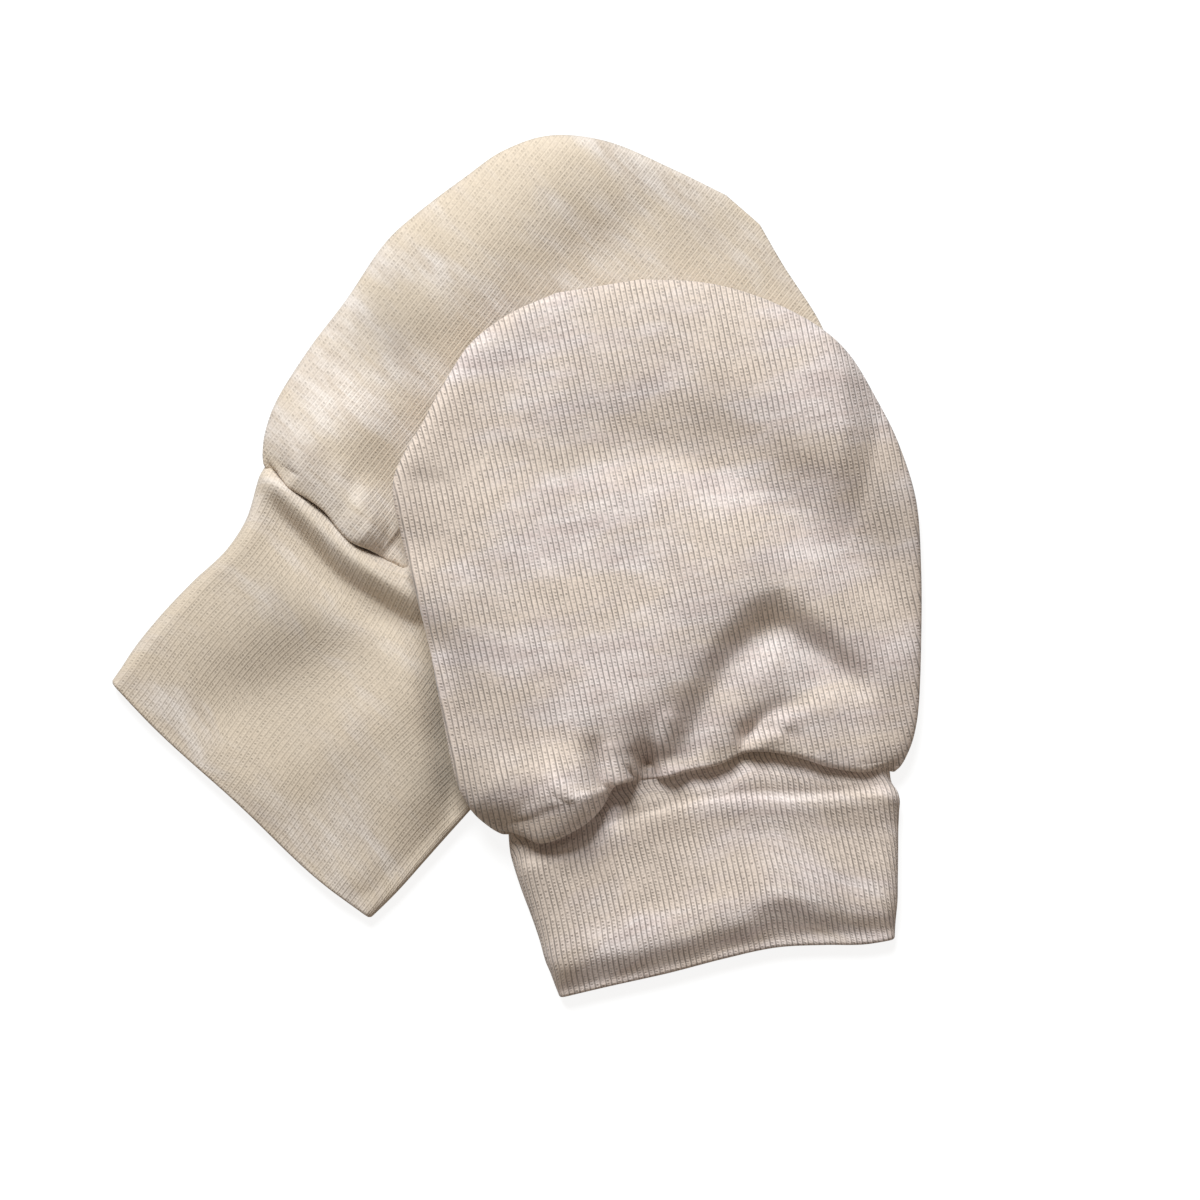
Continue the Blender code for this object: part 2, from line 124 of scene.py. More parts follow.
# Fineness of the meshes
FINE_PLACES = 400
CREASE_STEPS = 4
MERGE_DISTANCE = 2e-6
TOP_COLUMNS = 205
TOP_ROWS = 180
ROLL_STEPS = 18
UNDER_COLUMNS = 110
UNDER_ROWS = 110
CUFF_ACROSS = 150
CUFF_CORNER = 9
CUFF_ROWS = 130
CUFF_INNER_ROWS = 26
HEM_STEPS = 8
EDGE_CROWDING = 0.4
UNDER_CROWDING = 0.85

# Drape of the front mitten over the back one
DRAPE_CELL = 0.75
DRAPE_REACH = 3.0
DRAPE_MARGIN = 12.0
DRAPE_ROOM = 0.5
DRAPE_SPAN = 14
DRAPE_SOFTENING = 2
PANEL_ROOM = 2.2
LOOSE_START = 1.0
LOOSE_FULL = 15.0
RAY_START = 60.0

Curl = namedtuple("Curl", "reach turned")
Outline = namedtuple("Outline", "along left right crown")
Wrist = namedtuple("Wrist", "across seam overhang")
Hem = namedtuple("Hem", "across line under")
Ledge = namedtuple("Ledge", "across line share")
CuffSide = namedtuple("CuffSide", "share left right height")
Step = namedtuple("Step", "below height")
Crease = namedtuple("Crease", "path heights left right")
# A spot that tints the yarn tan and paints shade on it; with an amount below 0 it paints light instead.
Blotch = namedtuple("Blotch", "across along reach_across reach_along amount")
Press = namedtuple("Press", "start end share")
Mitten = namedtuple(
    "Mitten",
    "name place turn outline wrist lift creases under_creases cuff_sides hem ledge ledge_steps cuff_creases"
    " press blotches cuff_length contrast ribs",
)

# How far in a panel's edge curls, and how far it has turned towards the seam there
CURL = (
    Curl(0.02, 0.25),
    Curl(0.12, 0.5),
    Curl(0.32, 0.72),
    Curl(0.6, 0.9),
    Curl(0.95, 1.0),
)
FRONT_OUTLINE = (
    Outline(0.0, -30.3, 29.8, 3.1),
    Outline(1.8, -32.6, 31.5, 3.15),
    Outline(5.0, -35.0, 33.4, 3.7),
    Outline(10.0, -36.4, 35.0, 4.3),
    Outline(20.0, -36.8, 37.0, 4.9),
    Outline(30.0, -37.1, 38.6, 5.1),
    Outline(40.0, -37.9, 39.5, 5.1),
    Outline(49.0, -38.6, 38.3, 4.9),
    Outline(56.5, -38.2, 36.0, 4.7),
    Outline(64.0, -32.5, 32.8, 4.5),
    Outline(69.5, -28.2, 28.0, 4.3),
    Outline(74.6, -23.4, 20.6, 4.2),
    Outline(78.0, -17.0, 12.8, 4.1),
    Outline(80.0, -9.5, 3.5, 4.1),
)
BACK_OUTLINE = (
    Outline(0.0, -30.4, 29.8, 3.0),
    Outline(1.8, -32.2, 31.6, 3.6),
    Outline(5.0, -34.2, 33.8, 4.3),
    Outline(10.0, -35.9, 35.9, 4.9),
    Outline(19.0, -37.2, 37.6, 5.0),
    Outline(28.0, -37.8, 38.6, 5.0),
    Outline(38.0, -39.0, 38.8, 4.9),
    Outline(45.0, -38.3, 38.2, 4.8),
    Outline(54.0, -36.4, 36.2, 4.7),
    Outline(61.0, -34.6, 32.6, 4.6),
    Outline(67.5, -30.6, 27.2, 4.5),
    Outline(72.4, -23.4, 19.6, 4.4),
    Outline(75.6, -13.5, 9.0, 4.3),
    Outline(78.0, -4.5, 2.0, 4.3),
)
FRONT_WRIST = (
    Wrist(-31.0, -0.5, 1.1),
    Wrist(-28.0, 1.0, 2.8),
    Wrist(-24.5, 2.2, 4.4),
    Wrist(-20.5, 3.0, 4.2),
    Wrist(-17.4, 3.6, 3.4),
    Wrist(-15.2, 4.0, 2.0),
    Wrist(-13.4, 4.6, 0.3),
    Wrist(-10.4, 5.0, 0.1),
    Wrist(-5.0, 4.8, 0.2),
    Wrist(-1.0, 5.3, 0.3),
    Wrist(4.0, 5.6, 0.2),
    Wrist(7.0, 6.5, 0.2),
    Wrist(13.5, 5.6, 0.3),
    Wrist(16.5, 4.6, 0.6),
    Wrist(20.0, 3.3, 1.1),
    Wrist(26.0, 1.2, 0.9),
    Wrist(30.5, -0.5, 0.2),
)
BACK_WRIST = (
    Wrist(-31.0, 0.1, 0.9),
    Wrist(-26.0, 2.7, 2.2),
    Wrist(-20.0, 4.0, 2.6),
    Wrist(-13.0, 3.4, 2.8),
    Wrist(-9.8, 2.7, 1.1),
    Wrist(-8.4, 2.0, 0.15),
    Wrist(-6.8, 2.2, 0.0),
    Wrist(-4.8, 2.7, 0.0),
    Wrist(-2.5, 3.6, 0.0),
    Wrist(2.0, 4.2, 1.0),
    Wrist(16.0, 3.8, 1.8),
    Wrist(30.5, -0.3, 0.6),
)
FRONT_CREASES = (
    Crease(((-36, 57), (-24, 58.5), (-13, 57.2), (-0.6, 55.3), (9.2, 50.8), (18.8, 44.4), (24.5, 38.6),
            (29.2, 32), (33, 24)), (-0.4, -0.7, -1.4, -2.1, -2.5, -3.1, -3.9, -3.9, -2.4), 8.0, 5.2),
    Crease(((14, 63), (23, 58), (31, 50), (35, 41)), (0.3, 1.0, 1.4, 1.0), 7.0, 7.0),
    Crease(((-3.5, 14.3), (0.8, 20.1), (6, 25.8), (11.8, 30.2), (17.5, 31), (22, 26.4), (25.6, 21.8),
            (29.5, 16.8)), (0.7, 1.0, 1.3, 1.7, 1.8, 2.0, 2.0, 1.5), 8.0, 2.9),
    Crease(((-2, 7.5), (1, 11.5), (5, 17), (9.5, 21.6), (13.2, 23.8), (16, 24), (18.5, 22), (22, 18.3),
            (25.7, 13.8)), (-1.4, -1.5, -1.4, -1.6, -2.1, -2.1, -2.2, -2.2, -1.7), 2.7, 4.6),
    Crease(((-13.5, 14.5), (-8, 16.4), (-3.5, 19)), (0.8, 1.0, 0.8), 8.0, 4.5),
    Crease(((3, 9), (6.5, 14), (11, 18), (16, 18.5), (21, 15.5)), (0.5, 0.6, 0.6, 0.5, 0.3), 3.5, 3.5),
    Crease(((7.1, 6.5), (8.4, 9), (10.5, 10.8), (13, 11.8), (16, 12.2), (19, 12)),
           (-1.5, -1.7, -1.4, -0.9, -0.5, -0.1), 1.7, 1.4),
    Crease(((8.6, 7.0), (11, 7.4), (13.2, 7.6)), (0.4, 0.5, 0.3), 1.0, 1.0),
    Crease(((8.8, 9.0), (12.4, 9.2)), (-0.8, -0.6), 1.3, 1.0),
    Crease(((14.8, 8.0), (15.8, 7.3)), (-0.8, -0.8), 1.0, 1.0),
    Crease(((11, 7.5), (16, 9.6), (22, 11), (28, 10.5)), (0.7, 1.2, 1.4, 0.9), 2.8, 4.0),
    Crease(((-8.4, 4.2), (-8.1, 5.9), (-7.8, 7.6)), (-6.0, -6.2, -4.8), 2.0, 2.4),
    Crease(((-4.6, 9.5), (-3.4, 13.0)), (1.0, 0.6), 1.5, 1.5),
    Crease(((-12, 5.2), (-5, 5.2), (1, 5.8), (7, 6.7)), (0.8, 0.9, 0.4, 0.2), 1.8, 1.8),
    Crease(((-12.8, 6), (-12.6, 10)), (0.8, 0.6), 1.7, 1.7),
    Crease(((-15.0, 2.0), (-15.0, 8), (-14.7, 13)), (-3.8, -2.6, -0.5), 2.5, 1.9),
    Crease(((-31.5, -0.4), (-28, 1.1), (-24.5, 2.3), (-20.5, 3.1), (-18.2, 3.6)),
           (6.5, 9.0, 9.2, 8.6, 6.0), 7.0, 4.0),
    Crease(((11, 6.0), (18, 4.2), (24, 2.2), (29, 0.2)), (0.3, 1.9, 2.3, 2.0), 3.0, 3.0),
    Crease(((-37.7, 57.3), (-34, 55.6), (-30.4, 53.2)), (-0.5, -0.9, -0.4), 1.6, 2.0),
)
BACK_CREASES = (
    Crease(((-31, 8), (-22, 8), (-14, 6.5), (-10, 5)), (1.0, 1.4, 1.2, 1.2), 6.0, 5.5),
    Crease(((-8.4, 1.0), (-8.3, 4.5), (-8.1, 7.5), (-6, 11)), (-4.4, -4.6, -3.6, -0.8), 0.6, 5.0),
    Crease(((-30, 25), (-20, 33), (-6, 36)), (-0.8, -0.8, -0.6), 6.0, 6.0),
    Crease(((-28, 46), (-10, 56), (8, 60)), (0.5, 0.6, 0.6), 7.0, 7.0),
)
FRONT_UNDER_CREASES = (
    Crease(((-20, 6), (-14, 22), (-2, 34)), (0.7, 0.9, 0.4), 5.0, 4.0),
    Crease(((6, 5), (10, 18), (22, 26)), (0.8, 0.8, 0.3), 4.0, 4.0),
    Crease(((-24, 50), (-4, 58), (16, 54)), (0.3, 0.6, 0.3), 6.0, 5.0),
)
BACK_UNDER_CREASES = (
    Crease(((-12, 5), (-9, 16), (-16, 30)), (0.8, 0.9, 0.3), 4.0, 4.5),
    Crease(((9, 6), (14, 20), (10, 36)), (0.7, 0.9, 0.3), 4.5, 4.0),
    Crease(((-18, 52), (2, 58), (20, 50)), (0.3, 0.6, 0.3), 6.0, 5.0),
)
FRONT_CUFF_SIDES = (
    CuffSide(0.00, -29.6, 28.6, 3.0),
    CuffSide(0.09, -29.8, 28.7, 3.0),
    CuffSide(0.135, -29.8, 29.3, 3.6),
    CuffSide(0.17, -29.7, 29.4, 4.2),
    CuffSide(0.26, -29.4, 29.0, 4.6),
    CuffSide(0.36, -29.0, 28.5, 4.8),
    CuffSide(0.50, -28.3, 27.9, 4.9),
    CuffSide(0.68, -27.5, 27.1, 4.9),
    CuffSide(0.81, -27.1, 26.5, 4.8),
    CuffSide(0.87, -26.7, 26.1, 4.45),
    CuffSide(0.93, -26.4, 25.7, 3.6),
    CuffSide(1.00, -26.0, 25.3, 2.3),
)
BACK_CUFF_SIDES = (
    CuffSide(0.00, -30.2, 29.6, 3.4),
    CuffSide(0.04, -29.9, 29.3, 4.0),
    CuffSide(0.09, -29.2, 28.8, 4.2),
    CuffSide(0.14, -28.4, 28.3, 4.2),
    CuffSide(0.22, -27.2, 27.7, 4.1),
    CuffSide(0.36, -26.3, 27.2, 4.0),
    CuffSide(0.54, -27.0, 27.0, 3.9),
    CuffSide(0.72, -27.3, 26.9, 3.8),
    CuffSide(0.88, -27.0, 26.8, 3.4),
    CuffSide(0.95, -26.6, 26.6, 3.0),
    CuffSide(1.00, -26.4, 26.4, 2.4),
)
FRONT_HEM = (
    Hem(-27.0, -25.9, 0.0),
    Hem(-20.0, -25.4, 0.0),
    Hem(-10.0, -24.8, 0.1),
    Hem(0.0, -23.9, 0.1),
    Hem(8.0, -23.6, 0.0),
    Hem(15.0, -24.4, 0.0),
    Hem(21.0, -25.3, 0.0),
    Hem(27.0, -25.3, 0.0),
)
BACK_HEM = (
    Hem(-27.0, -39.6, 0.0),
    Hem(-18.0, -40.5, 0.0),
    Hem(0.0, -40.9, 0.0),
    Hem(18.0, -41.6, 0.0),
    Hem(27.0, -40.9, 0.0),
)
# The ledge: the fold at which the cuff's outer layer steps up, where it runs and how much of it stands
FRONT_LEDGE = (
    Ledge(-29.0, -4.6, 0.5),
    Ledge(-16.2, -1.6, 0.7),
    Ledge(-8.2, -0.7, 0.8),
    Ledge(-0.3, -0.1, 0.9),
    Ledge(7.4, -0.75, 1.0),
    Ledge(15.0, -2.1, 1.1),
    Ledge(22.6, -2.8, 1.2),
    Ledge(29.5, -3.3, 1.2),
)
# The ledge's profile: height at each distance below its line
FRONT_LEDGE_STEPS = (
    Step(-6.5, 0.9),
    Step(-4.0, 0.35),
    Step(-2.0, -0.3),
    Step(-0.7, -0.7),
    Step(-0.35, -0.66),
    Step(0.0, -0.4),
    Step(0.35, -0.2),
    Step(1.2, -0.2),
    Step(3.0, -0.7),
    Step(5.0, -1.15),
    Step(8.0, -1.15),
    Step(11.0, -0.95),
)
FRONT_CUFF_CREASES = (
    Crease(((4, -16.8), (9, -15.9), (13, -17.0), (20, -20.0)), (0.7, 1.8, 1.6, 0.7), 6.5, 3.0),
    Crease(((-28, -6.5), (-21, -6.0), (-14, -4.5)), (1.0, 1.0, 0.4), 2.5, 9.0),
    Crease(((-27, -20.8), (-12, -20.2), (1, -18.8)), (0.8, 0.9, 0.6), 4.5, 3.2),
)
BACK_CUFF_CREASES = (
    Crease(((-30.4, 0.5), (-26.7, 1.3), (-20.8, 1.7), (-16, 2.0), (-12.5, 1.4), (-9.6, 1.7), (-5, 2.7)),
           (-1.8, -2.4, -2.6, -2.8, -2.8, -2.6, -1.8), 1.4, 0.8),
    Crease(((-31, -0.6), (-26, -0.6), (-20, -1.0), (-12, -1.2), (-4, -0.2), (6, 0.6), (28, -2)),
           (0.5, 1.1, 1.5, 1.6, 1.6, 0.8, 0.3), 1.8, 1.8),
    Crease(((-28, -3.2), (-20, -4.8), (-12, -5.6), (-3, -4.6), (4, -3.8), (9, -3.6)),
           (-1.2, -2.2, -2.6, -2.6, -2.2, -0.8), 1.8, 3.4),
    Crease(((0.5, 2.4), (6.6, -2.5), (12.8, -7.3), (18.8, -12.3), (24.8, -17.4)),
           (-0.8, -2.6, -2.8, -2.8, -2.4), 6.0, 3.2),
    Crease(((2, -6.4), (8.2, -11.2), (14.2, -16.2), (20.2, -21.3)), (0.5, 1.0, 1.0, 0.7), 3.5, 4.5),
    Crease(((28.6, -20), (28.6, -30), (28.4, -40)), (-1.4, -2.6, -2.4), 5.0, 5.0),
    Crease(((-1.5, -13), (-6.5, -24), (-11, -31), (-14, -38)), (-0.9, -1.1, -0.9, -0.4), 6.0, 6.0),
    Crease(((-12, -12), (-17, -22), (-21, -31)), (0.5, 0.6, 0.4), 5.0, 5.0),
    Crease(((8, -12), (6, -24), (2, -34)), (0.5, 0.6, 0.4), 5.5, 5.5),
)
# Spots on the front mitten. Some, such as the one at the tip, are the yarn's own tan tint; the rest are
# painted shade: along the valley below the tip, down both sides, under the lip and the lobe at the wrist,
# and across the cuff. The one below 0 is painted light on the ridge above the pocket.
FRONT_TINT_AND_PAINTED_SHADE = (
    Blotch(-20.0, 58.0, 14.0, 4.0, 0.5),
    Blotch(8.0, 57.0, 12.0, 4.0, 0.6),
    Blotch(-34.0, 55.5, 5.0, 2.0, 0.8),
    Blotch(0.0, 76.0, 26.0, 9.0, 0.7),
    Blotch(-11.0, 54.5, 9.0, 2.6, 0.8),
    Blotch(35.0, 36.5, 5.5, 11.0, 1.1),
    Blotch(-8.0, 1.6, 6.0, 2.6, 1.3),
    Blotch(10.0, 6.2, 6.0, 1.4, 1.2),
    Blotch(-33.0, 28.0, 9.0, 36.0, 0.8),
    Blotch(-34.0, 5.0, 4.0, 8.0, 0.8),
    Blotch(-10.0, 19.0, 7.0, 5.0, -0.6),
    Blotch(22.0, -9.0, 13.0, 14.0, 0.5),
    Blotch(0.0, -9.0, 28.0, 6.0, 0.6),
    Blotch(-27.0, -12.0, 5.0, 12.0, 0.8),
)
# Spots on the back mitten. Some, across the hand and at the tip, are the yarn's own tan tint; the rest are
# painted shade: over most of the cuff, and a strip of painted shadow beside the front mitten's edge. The
# ones below 0 are painted light, on the puff by the wrist and on the cuff.
BACK_TINT_AND_PAINTED_SHADE = (
    Blotch(-31.0, 30.0, 6.0, 7.0, 1.0),
    Blotch(-27.5, 17.5, 6.0, 4.5, -1.0),
    Blotch(-18.5, 14.0, 5.0, 4.0, 0.8),
    Blotch(-10.0, 42.0, 40.0, 24.0, 0.4),
    Blotch(0.0, -20.0, 40.0, 18.0, 1.2),
    Blotch(10.0, -6.0, 3.5, 3.5, 0.9),
    Blotch(16.0, -11.0, 3.5, 3.5, 1.4),
    Blotch(21.5, -17.0, 4.5, 5.0, 1.6),
    Blotch(-14.0, -15.0, 8.0, 6.0, 0.4),
    Blotch(5.0, -18.0, 7.0, 6.0, -0.6),
    Blotch(0.0, 72.0, 30.0, 14.0, 0.5),
)

BACK = Mitten(
    name="back", place=(-15.8, -5.4), turn=-41.0, outline=BACK_OUTLINE, wrist=BACK_WRIST, lift=4.6,
    creases=BACK_CREASES, under_creases=BACK_UNDER_CREASES, cuff_sides=BACK_CUFF_SIDES, hem=BACK_HEM,
    ledge=None, ledge_steps=None, cuff_creases=BACK_CUFF_CREASES,
    press=Press(start=-30.0, end=-11.0, share=0.85), blotches=BACK_TINT_AND_PAINTED_SHADE, cuff_length=0.046,
    contrast=0.28, ribs=0.45,
)
FRONT = Mitten(
    name="front", place=(28.4, -36.2), turn=9.3, outline=FRONT_OUTLINE, wrist=FRONT_WRIST, lift=4.6,
    creases=FRONT_CREASES, under_creases=FRONT_UNDER_CREASES, cuff_sides=FRONT_CUFF_SIDES, hem=FRONT_HEM,
    ledge=FRONT_LEDGE, ledge_steps=FRONT_LEDGE_STEPS, cuff_creases=FRONT_CUFF_CREASES,
    press=None, blotches=FRONT_TINT_AND_PAINTED_SHADE, cuff_length=0.033, contrast=0.5, ribs=0.95,
)
BACK_PIECES = ["back_hand_top", "back_cuff_band"]


# Forms

def smooth_step(low, high, at):
    """0 up to low, 1 from high, and an even rise between them."""
    share = np.clip((at - low) / (high - low), 0.0, 1.0)
    return share * share * (3.0 - 2.0 * share)


def curve(knots, values, at):
    """A smooth curve through the knots, read at every place in `at`, level past its ends."""
    knots = np.asarray(knots, dtype=float)
    values = np.asarray(values, dtype=float)
    slopes = np.gradient(values, knots)
    at = np.clip(at, knots[0], knots[-1])
    cell = np.clip(np.searchsorted(knots, at, side="right") - 1, 0, len(knots) - 2)
    step = knots[cell + 1] - knots[cell]
    f = (at - knots[cell]) / step
    rise = f * f * (3.0 - 2.0 * f)
    start = values[cell] * (1.0 - rise) + values[cell + 1] * rise
    return start + step * f * (1.0 - f) * (slopes[cell] * (1.0 - f) - slopes[cell + 1] * f)


def column(table, name):
    return [getattr(row, name) for row in table]


def read(table, key, name, at):
    """A column of a table, read where its key column would be `at`."""
    return curve(column(table, key), column(table, name), at)


def outline_at(table, name, place):
    """A column of the outline, read at a place counted in rows of the table."""
    return curve(np.arange(len(table)), column(table, name), place)


def even_places(table, count):
    """Places along the outline that lie evenly along the edge, from the wrist to the tip."""
    fine = np.linspace(0.0, len(table) - 1.0, FINE_PLACES)
    along = outline_at(table, "along", fine)
    half = (outline_at(table, "right", fine) - outline_at(table, "left", fine)) / 2.0
    length = np.concatenate(([0.0], np.cumsum(np.hypot(np.diff(along), np.diff(half)))))
    return np.interp(np.linspace(0.0, length[-1], count), length, fine)


def crease_height(creases, u, v):
    """Sum of the soft ridges and troughs: each is a bell across its path, uneven along it."""
    total = np.zeros_like(u)
    for crease in creases:
        knots = np.arange(len(crease.path))
        fine = np.linspace(0.0, len(knots) - 1.0, CREASE_STEPS * (len(knots) - 1) + 1)
        us = curve(knots, [point[0] for point in crease.path], fine)
        vs = curve(knots, [point[1] for point in crease.path], fine)
        hs = curve(knots, crease.heights, fine)
        nearest = np.full_like(u, np.inf)
        height = np.zeros_like(u)
        beside = np.zeros_like(u)
        for k in range(len(fine) - 1):
            du = us[k + 1] - us[k]
            dv = vs[k + 1] - vs[k]
            f = np.clip(((u - us[k]) * du + (v - vs[k]) * dv) / (du * du + dv * dv), 0.0, 1.0)
            off_u = u - us[k] - f * du
            off_v = v - vs[k] - f * dv
            distance = off_u * off_u + off_v * off_v
            closer = distance < nearest
            nearest = np.where(closer, distance, nearest)
            height = np.where(closer, hs[k] * (1.0 - f) + hs[k + 1] * f, height)
            cross = (du * off_v - dv * off_u) / math.hypot(du, dv)
            beside = np.where(closer, cross, beside)
        lean = np.clip(beside / np.sqrt(nearest + 1e-6), -1.0, 1.0) * 0.5 + 0.5
        width = crease.right + (crease.left - crease.right) * lean
        total += height * np.exp(-nearest / (width * width))
    return total


def unevenness(u, v, seed):
    """The slight waviness of cloth that was laid down by hand."""
    crossed = np.sin(u * 0.31 + 1.7 * seed) * np.sin(v * 0.27 + 0.9 * seed + 0.6 * np.sin(u * 0.12))
    slanted = np.sin(u * 0.17 - v * 0.21 + 2.3 * seed)
    short = np.sin(u * 0.62 + v * 0.35 + seed) * np.sin(v * 0.55 - 0.4 * seed)
    return 0.16 * crossed + 0.14 * slanted + 0.07 * short


def crowded(count, crowding):
    """Shares of the half width from -1 to 1, closer together towards the sides."""
    even = np.linspace(-1.0, 1.0, count)
    return even * (1.0 - crowding) + crowding * np.sin(even * math.pi / 2.0)


def side_of(share):
    """0 over most of the width, rising to 1 at the seam round the hand."""
    return smooth_step(SIDE_START, 1.0, np.abs(share))


def ahead_of(mitten, place, distance):
    """The place on the outline that lies a distance further from the wrist."""
    fine = np.linspace(0.0, len(mitten.outline) - 1.0, FINE_PLACES)
    along = outline_at(mitten.outline, "along", fine)
    here = outline_at(mitten.outline, "along", place)
    return np.where(distance > 0.0, np.interp(here + distance, along, fine), place)


def plan_of(mitten, share, place):
    """Where a share of the width at a place along the outline lies, seen from above."""
    left = outline_at(mitten.outline, "left", place)
    right = outline_at(mitten.outline, "right", place)
    along = outline_at(mitten.outline, "along", place)
    u = (left + right) / 2.0 + share * (right - left) / 2.0
    fade = np.clip(1.0 - along / SEAM_REACH, 0.0, 1.0) ** 2
    return u, along + (read(mitten.wrist, "across", "seam", u) + WRIST_GAP / 2.0) * fade, along


def left_by_press(mitten, u):
    """Share of the top panel's fullness that is left under the mitten that lies on it."""
    if mitten.press is None:
        return 1.0
    return 1.0 - mitten.press.share * smooth_step(mitten.press.start, mitten.press.end, u)


def dome(mitten, share, place):
    """Height of the top panel's middle surface above what the mitten lies on."""
    u, v, along = plan_of(mitten, share, place)
    tip = mitten.outline[-1].along
    across = np.sqrt(np.clip(1.0 - np.abs(share) ** SIDE_FULLNESS, 0.0, 1.0))
    to_tip = 1.0 - np.clip((tip - along) / TIP_ROUND, 0.0, 1.0)
    towards = np.sqrt(np.clip(1.0 - to_tip ** TIP_FULLNESS, 0.0, 1.0))
    full = left_by_press(mitten, u)
    crown = outline_at(mitten.outline, "crown", place) * full
    gathers = np.sin(1.05 * u + 0.9 * np.sin(0.37 * u)) * np.exp(-((along / GATHER_REACH) ** 2))
    folds = crease_height(mitten.creases, u, v) * full + unevenness(u, v, mitten.turn)
    folds += GATHER_HEIGHT * gathers
    return np.maximum(RIM_TOP + (crown + folds) * across * towards, LOWEST_TOP)


def depths(before, count, after):
    """0 for each of `count` rows, and how far out each row added before and after them lies."""
    return np.concatenate((np.arange(before, 0, -1), np.zeros(count), np.arange(1, after + 1))).astype(int)


def curled(grid, grain, seam_height, sides):
    """Adds rows and columns that curl a panel's edges in under themselves, to the seam round it."""
    inward = np.zeros(grid.shape[:2] + (2,))
    edges = {
        "left": (np.s_[:, 0], np.s_[:, 1]),
        "right": (np.s_[:, -1], np.s_[:, -2]),
        "wrist": (np.s_[0], np.s_[1]),
        "tip": (np.s_[-1], np.s_[-2]),
    }
    for side in sides:
        edge, inside = edges[side]
        line = grid[edge][:, :2]
        along = np.gradient(line, axis=0)
        across = np.stack((-along[:, 1], along[:, 0]), axis=1)
        across *= np.sign(np.sum(across * (grid[inside][:, :2] - line), axis=1, keepdims=True))
        inward[edge] += across / np.maximum(np.linalg.norm(across, axis=1, keepdims=True), 1e-9)
    inward /= np.maximum(np.linalg.norm(inward, axis=2, keepdims=True), 1e-9)
    steps = len(CURL)
    before = {name: steps if name in sides else 0 for name in edges}
    depth_rows = depths(before["wrist"], grid.shape[0], before["tip"])
    depth_columns = depths(before["left"], grid.shape[1], before["right"])
    rows = np.clip(np.arange(len(depth_rows)) - before["wrist"], 0, grid.shape[0] - 1)
    columns = np.clip(np.arange(len(depth_columns)) - before["left"], 0, grid.shape[1] - 1)
    depth = np.maximum(depth_rows[:, None], depth_columns[None, :])
    reach = np.array([0.0] + column(CURL, "reach"))[depth]
    turned = np.array([0.0] + column(CURL, "turned"))[depth]
    wide = grid[rows][:, columns]
    inward = inward[rows][:, columns]
    drop = (seam_height - wide[..., 2]) * turned
    grain = grain[rows][:, columns] - inward * np.hypot(reach, drop)[..., None]
    wide[..., :2] += inward * reach[..., None]
    wide[..., 2] += drop
    return wide, grain


def eased(heights, along, row, corner):
    """Heights evened out along the panel where the wrist's roll meets the hand, most at its corners."""
    rows = np.arange(heights.shape[0])[1:-1, None]
    reach = EASE_ROWS * (1.0 + corner)
    pull = (EASE_PULL + CORNER_PULL * corner) * np.exp(-(((rows - row) / reach) ** 2))
    steps = np.hypot(np.diff(along, axis=0), np.diff(heights, axis=0)) + 1e-6
    nearer = steps[1:] / (steps[:-1] + steps[1:])
    for _ in range(EASE_PASSES):
        between = heights[:-2] * nearer + heights[2:] * (1.0 - nearer)
        heights[1:-1] += (between - heights[1:-1]) * pull
    return heights


def top_surface(mitten):
    """The top panel's middle surface and grain, from under its lip at the wrist to the hand's seam."""
    share = crowded(TOP_COLUMNS, EDGE_CROWDING)[None, :]
    side = side_of(share)
    middle = 1.0 - side
    corner = smooth_step(CORNER_START, CORNER_FULL, np.abs(share))
    start = np.zeros_like(share)
    u, v, _ = plan_of(mitten, share, start)
    seam_dome = dome(mitten, share, start)
    overhang = read(mitten.wrist, "across", "overhang", u) * middle
    leaning = np.clip(overhang / LIP_TURN, 0.0, 1.0)
    low = np.clip(seam_dome - LIFT_BELOW_TOP, LEAST_LIFT, LOW_LIFT)
    lift = (low + (mitten.lift - low) * leaning) * middle + RIM_TOP * side
    lip_top = np.maximum(seam_dome, lift + (LIP_THICKNESS + LEANING_LIP * leaning) * middle)
    inland = dome(mitten, share, ahead_of(mitten, start, np.full_like(share, CORNER_DEPTH)))
    levelled = np.maximum(inland - lip_top, 0.0) * corner * middle
    lip_top += levelled
    grid = [np.stack((u, v + TUCK_IN * middle, np.full_like(u, LIP_FOOT)), axis=2)]
    turn = math.pi * np.arange(ROLL_STEPS)[:, None] / ROLL_STEPS
    steps = (np.arange(ROLL_STEPS)[:, None] + 0.5) / ROLL_STEPS
    u, v, _ = plan_of(mitten, share, ahead_of(mitten, start + 0.0 * turn, SIDE_STEP * side * steps))
    out = v - overhang * np.sin(turn)
    up = lift + (lip_top - lift) * (1.0 - np.cos(turn)) / 2.0
    grid.append(np.stack((u, out, up), axis=2))
    place = even_places(mitten.outline, TOP_ROWS)[:, None]
    along = outline_at(mitten.outline, "along", place)
    fade = np.clip(1.0 - along / SEAM_REACH, 0.0, 1.0) ** 2
    here = ahead_of(mitten, place + 0.0 * share, SIDE_STEP * side * fade)
    u, v, _ = plan_of(mitten, share, here)
    z = dome(mitten, share, here) + (lip_top - levelled - seam_dome) * np.exp(-((along / LIP_REACH) ** 2))
    z += levelled * np.exp(-along / CORNER_DEPTH)
    grid.append(np.stack((u, v, z), axis=2))
    grid = np.concatenate(grid, axis=0)
    grid[..., 2] = eased(grid[..., 2], grid[..., 1], ROLL_STEPS + 1, corner)
    grain = grid[..., :2].copy()
    steps = np.diff(grid[:ROLL_STEPS + 2], axis=0)
    lengths = np.hypot(steps[..., 1], steps[..., 2])
    grain[:ROLL_STEPS + 1, :, 1] = grain[ROLL_STEPS + 1, :, 1] - np.cumsum(lengths[::-1], axis=0)[::-1]
    return curled(grid, grain, TOP_SEAM_HEIGHT, ("left", "right", "tip"))


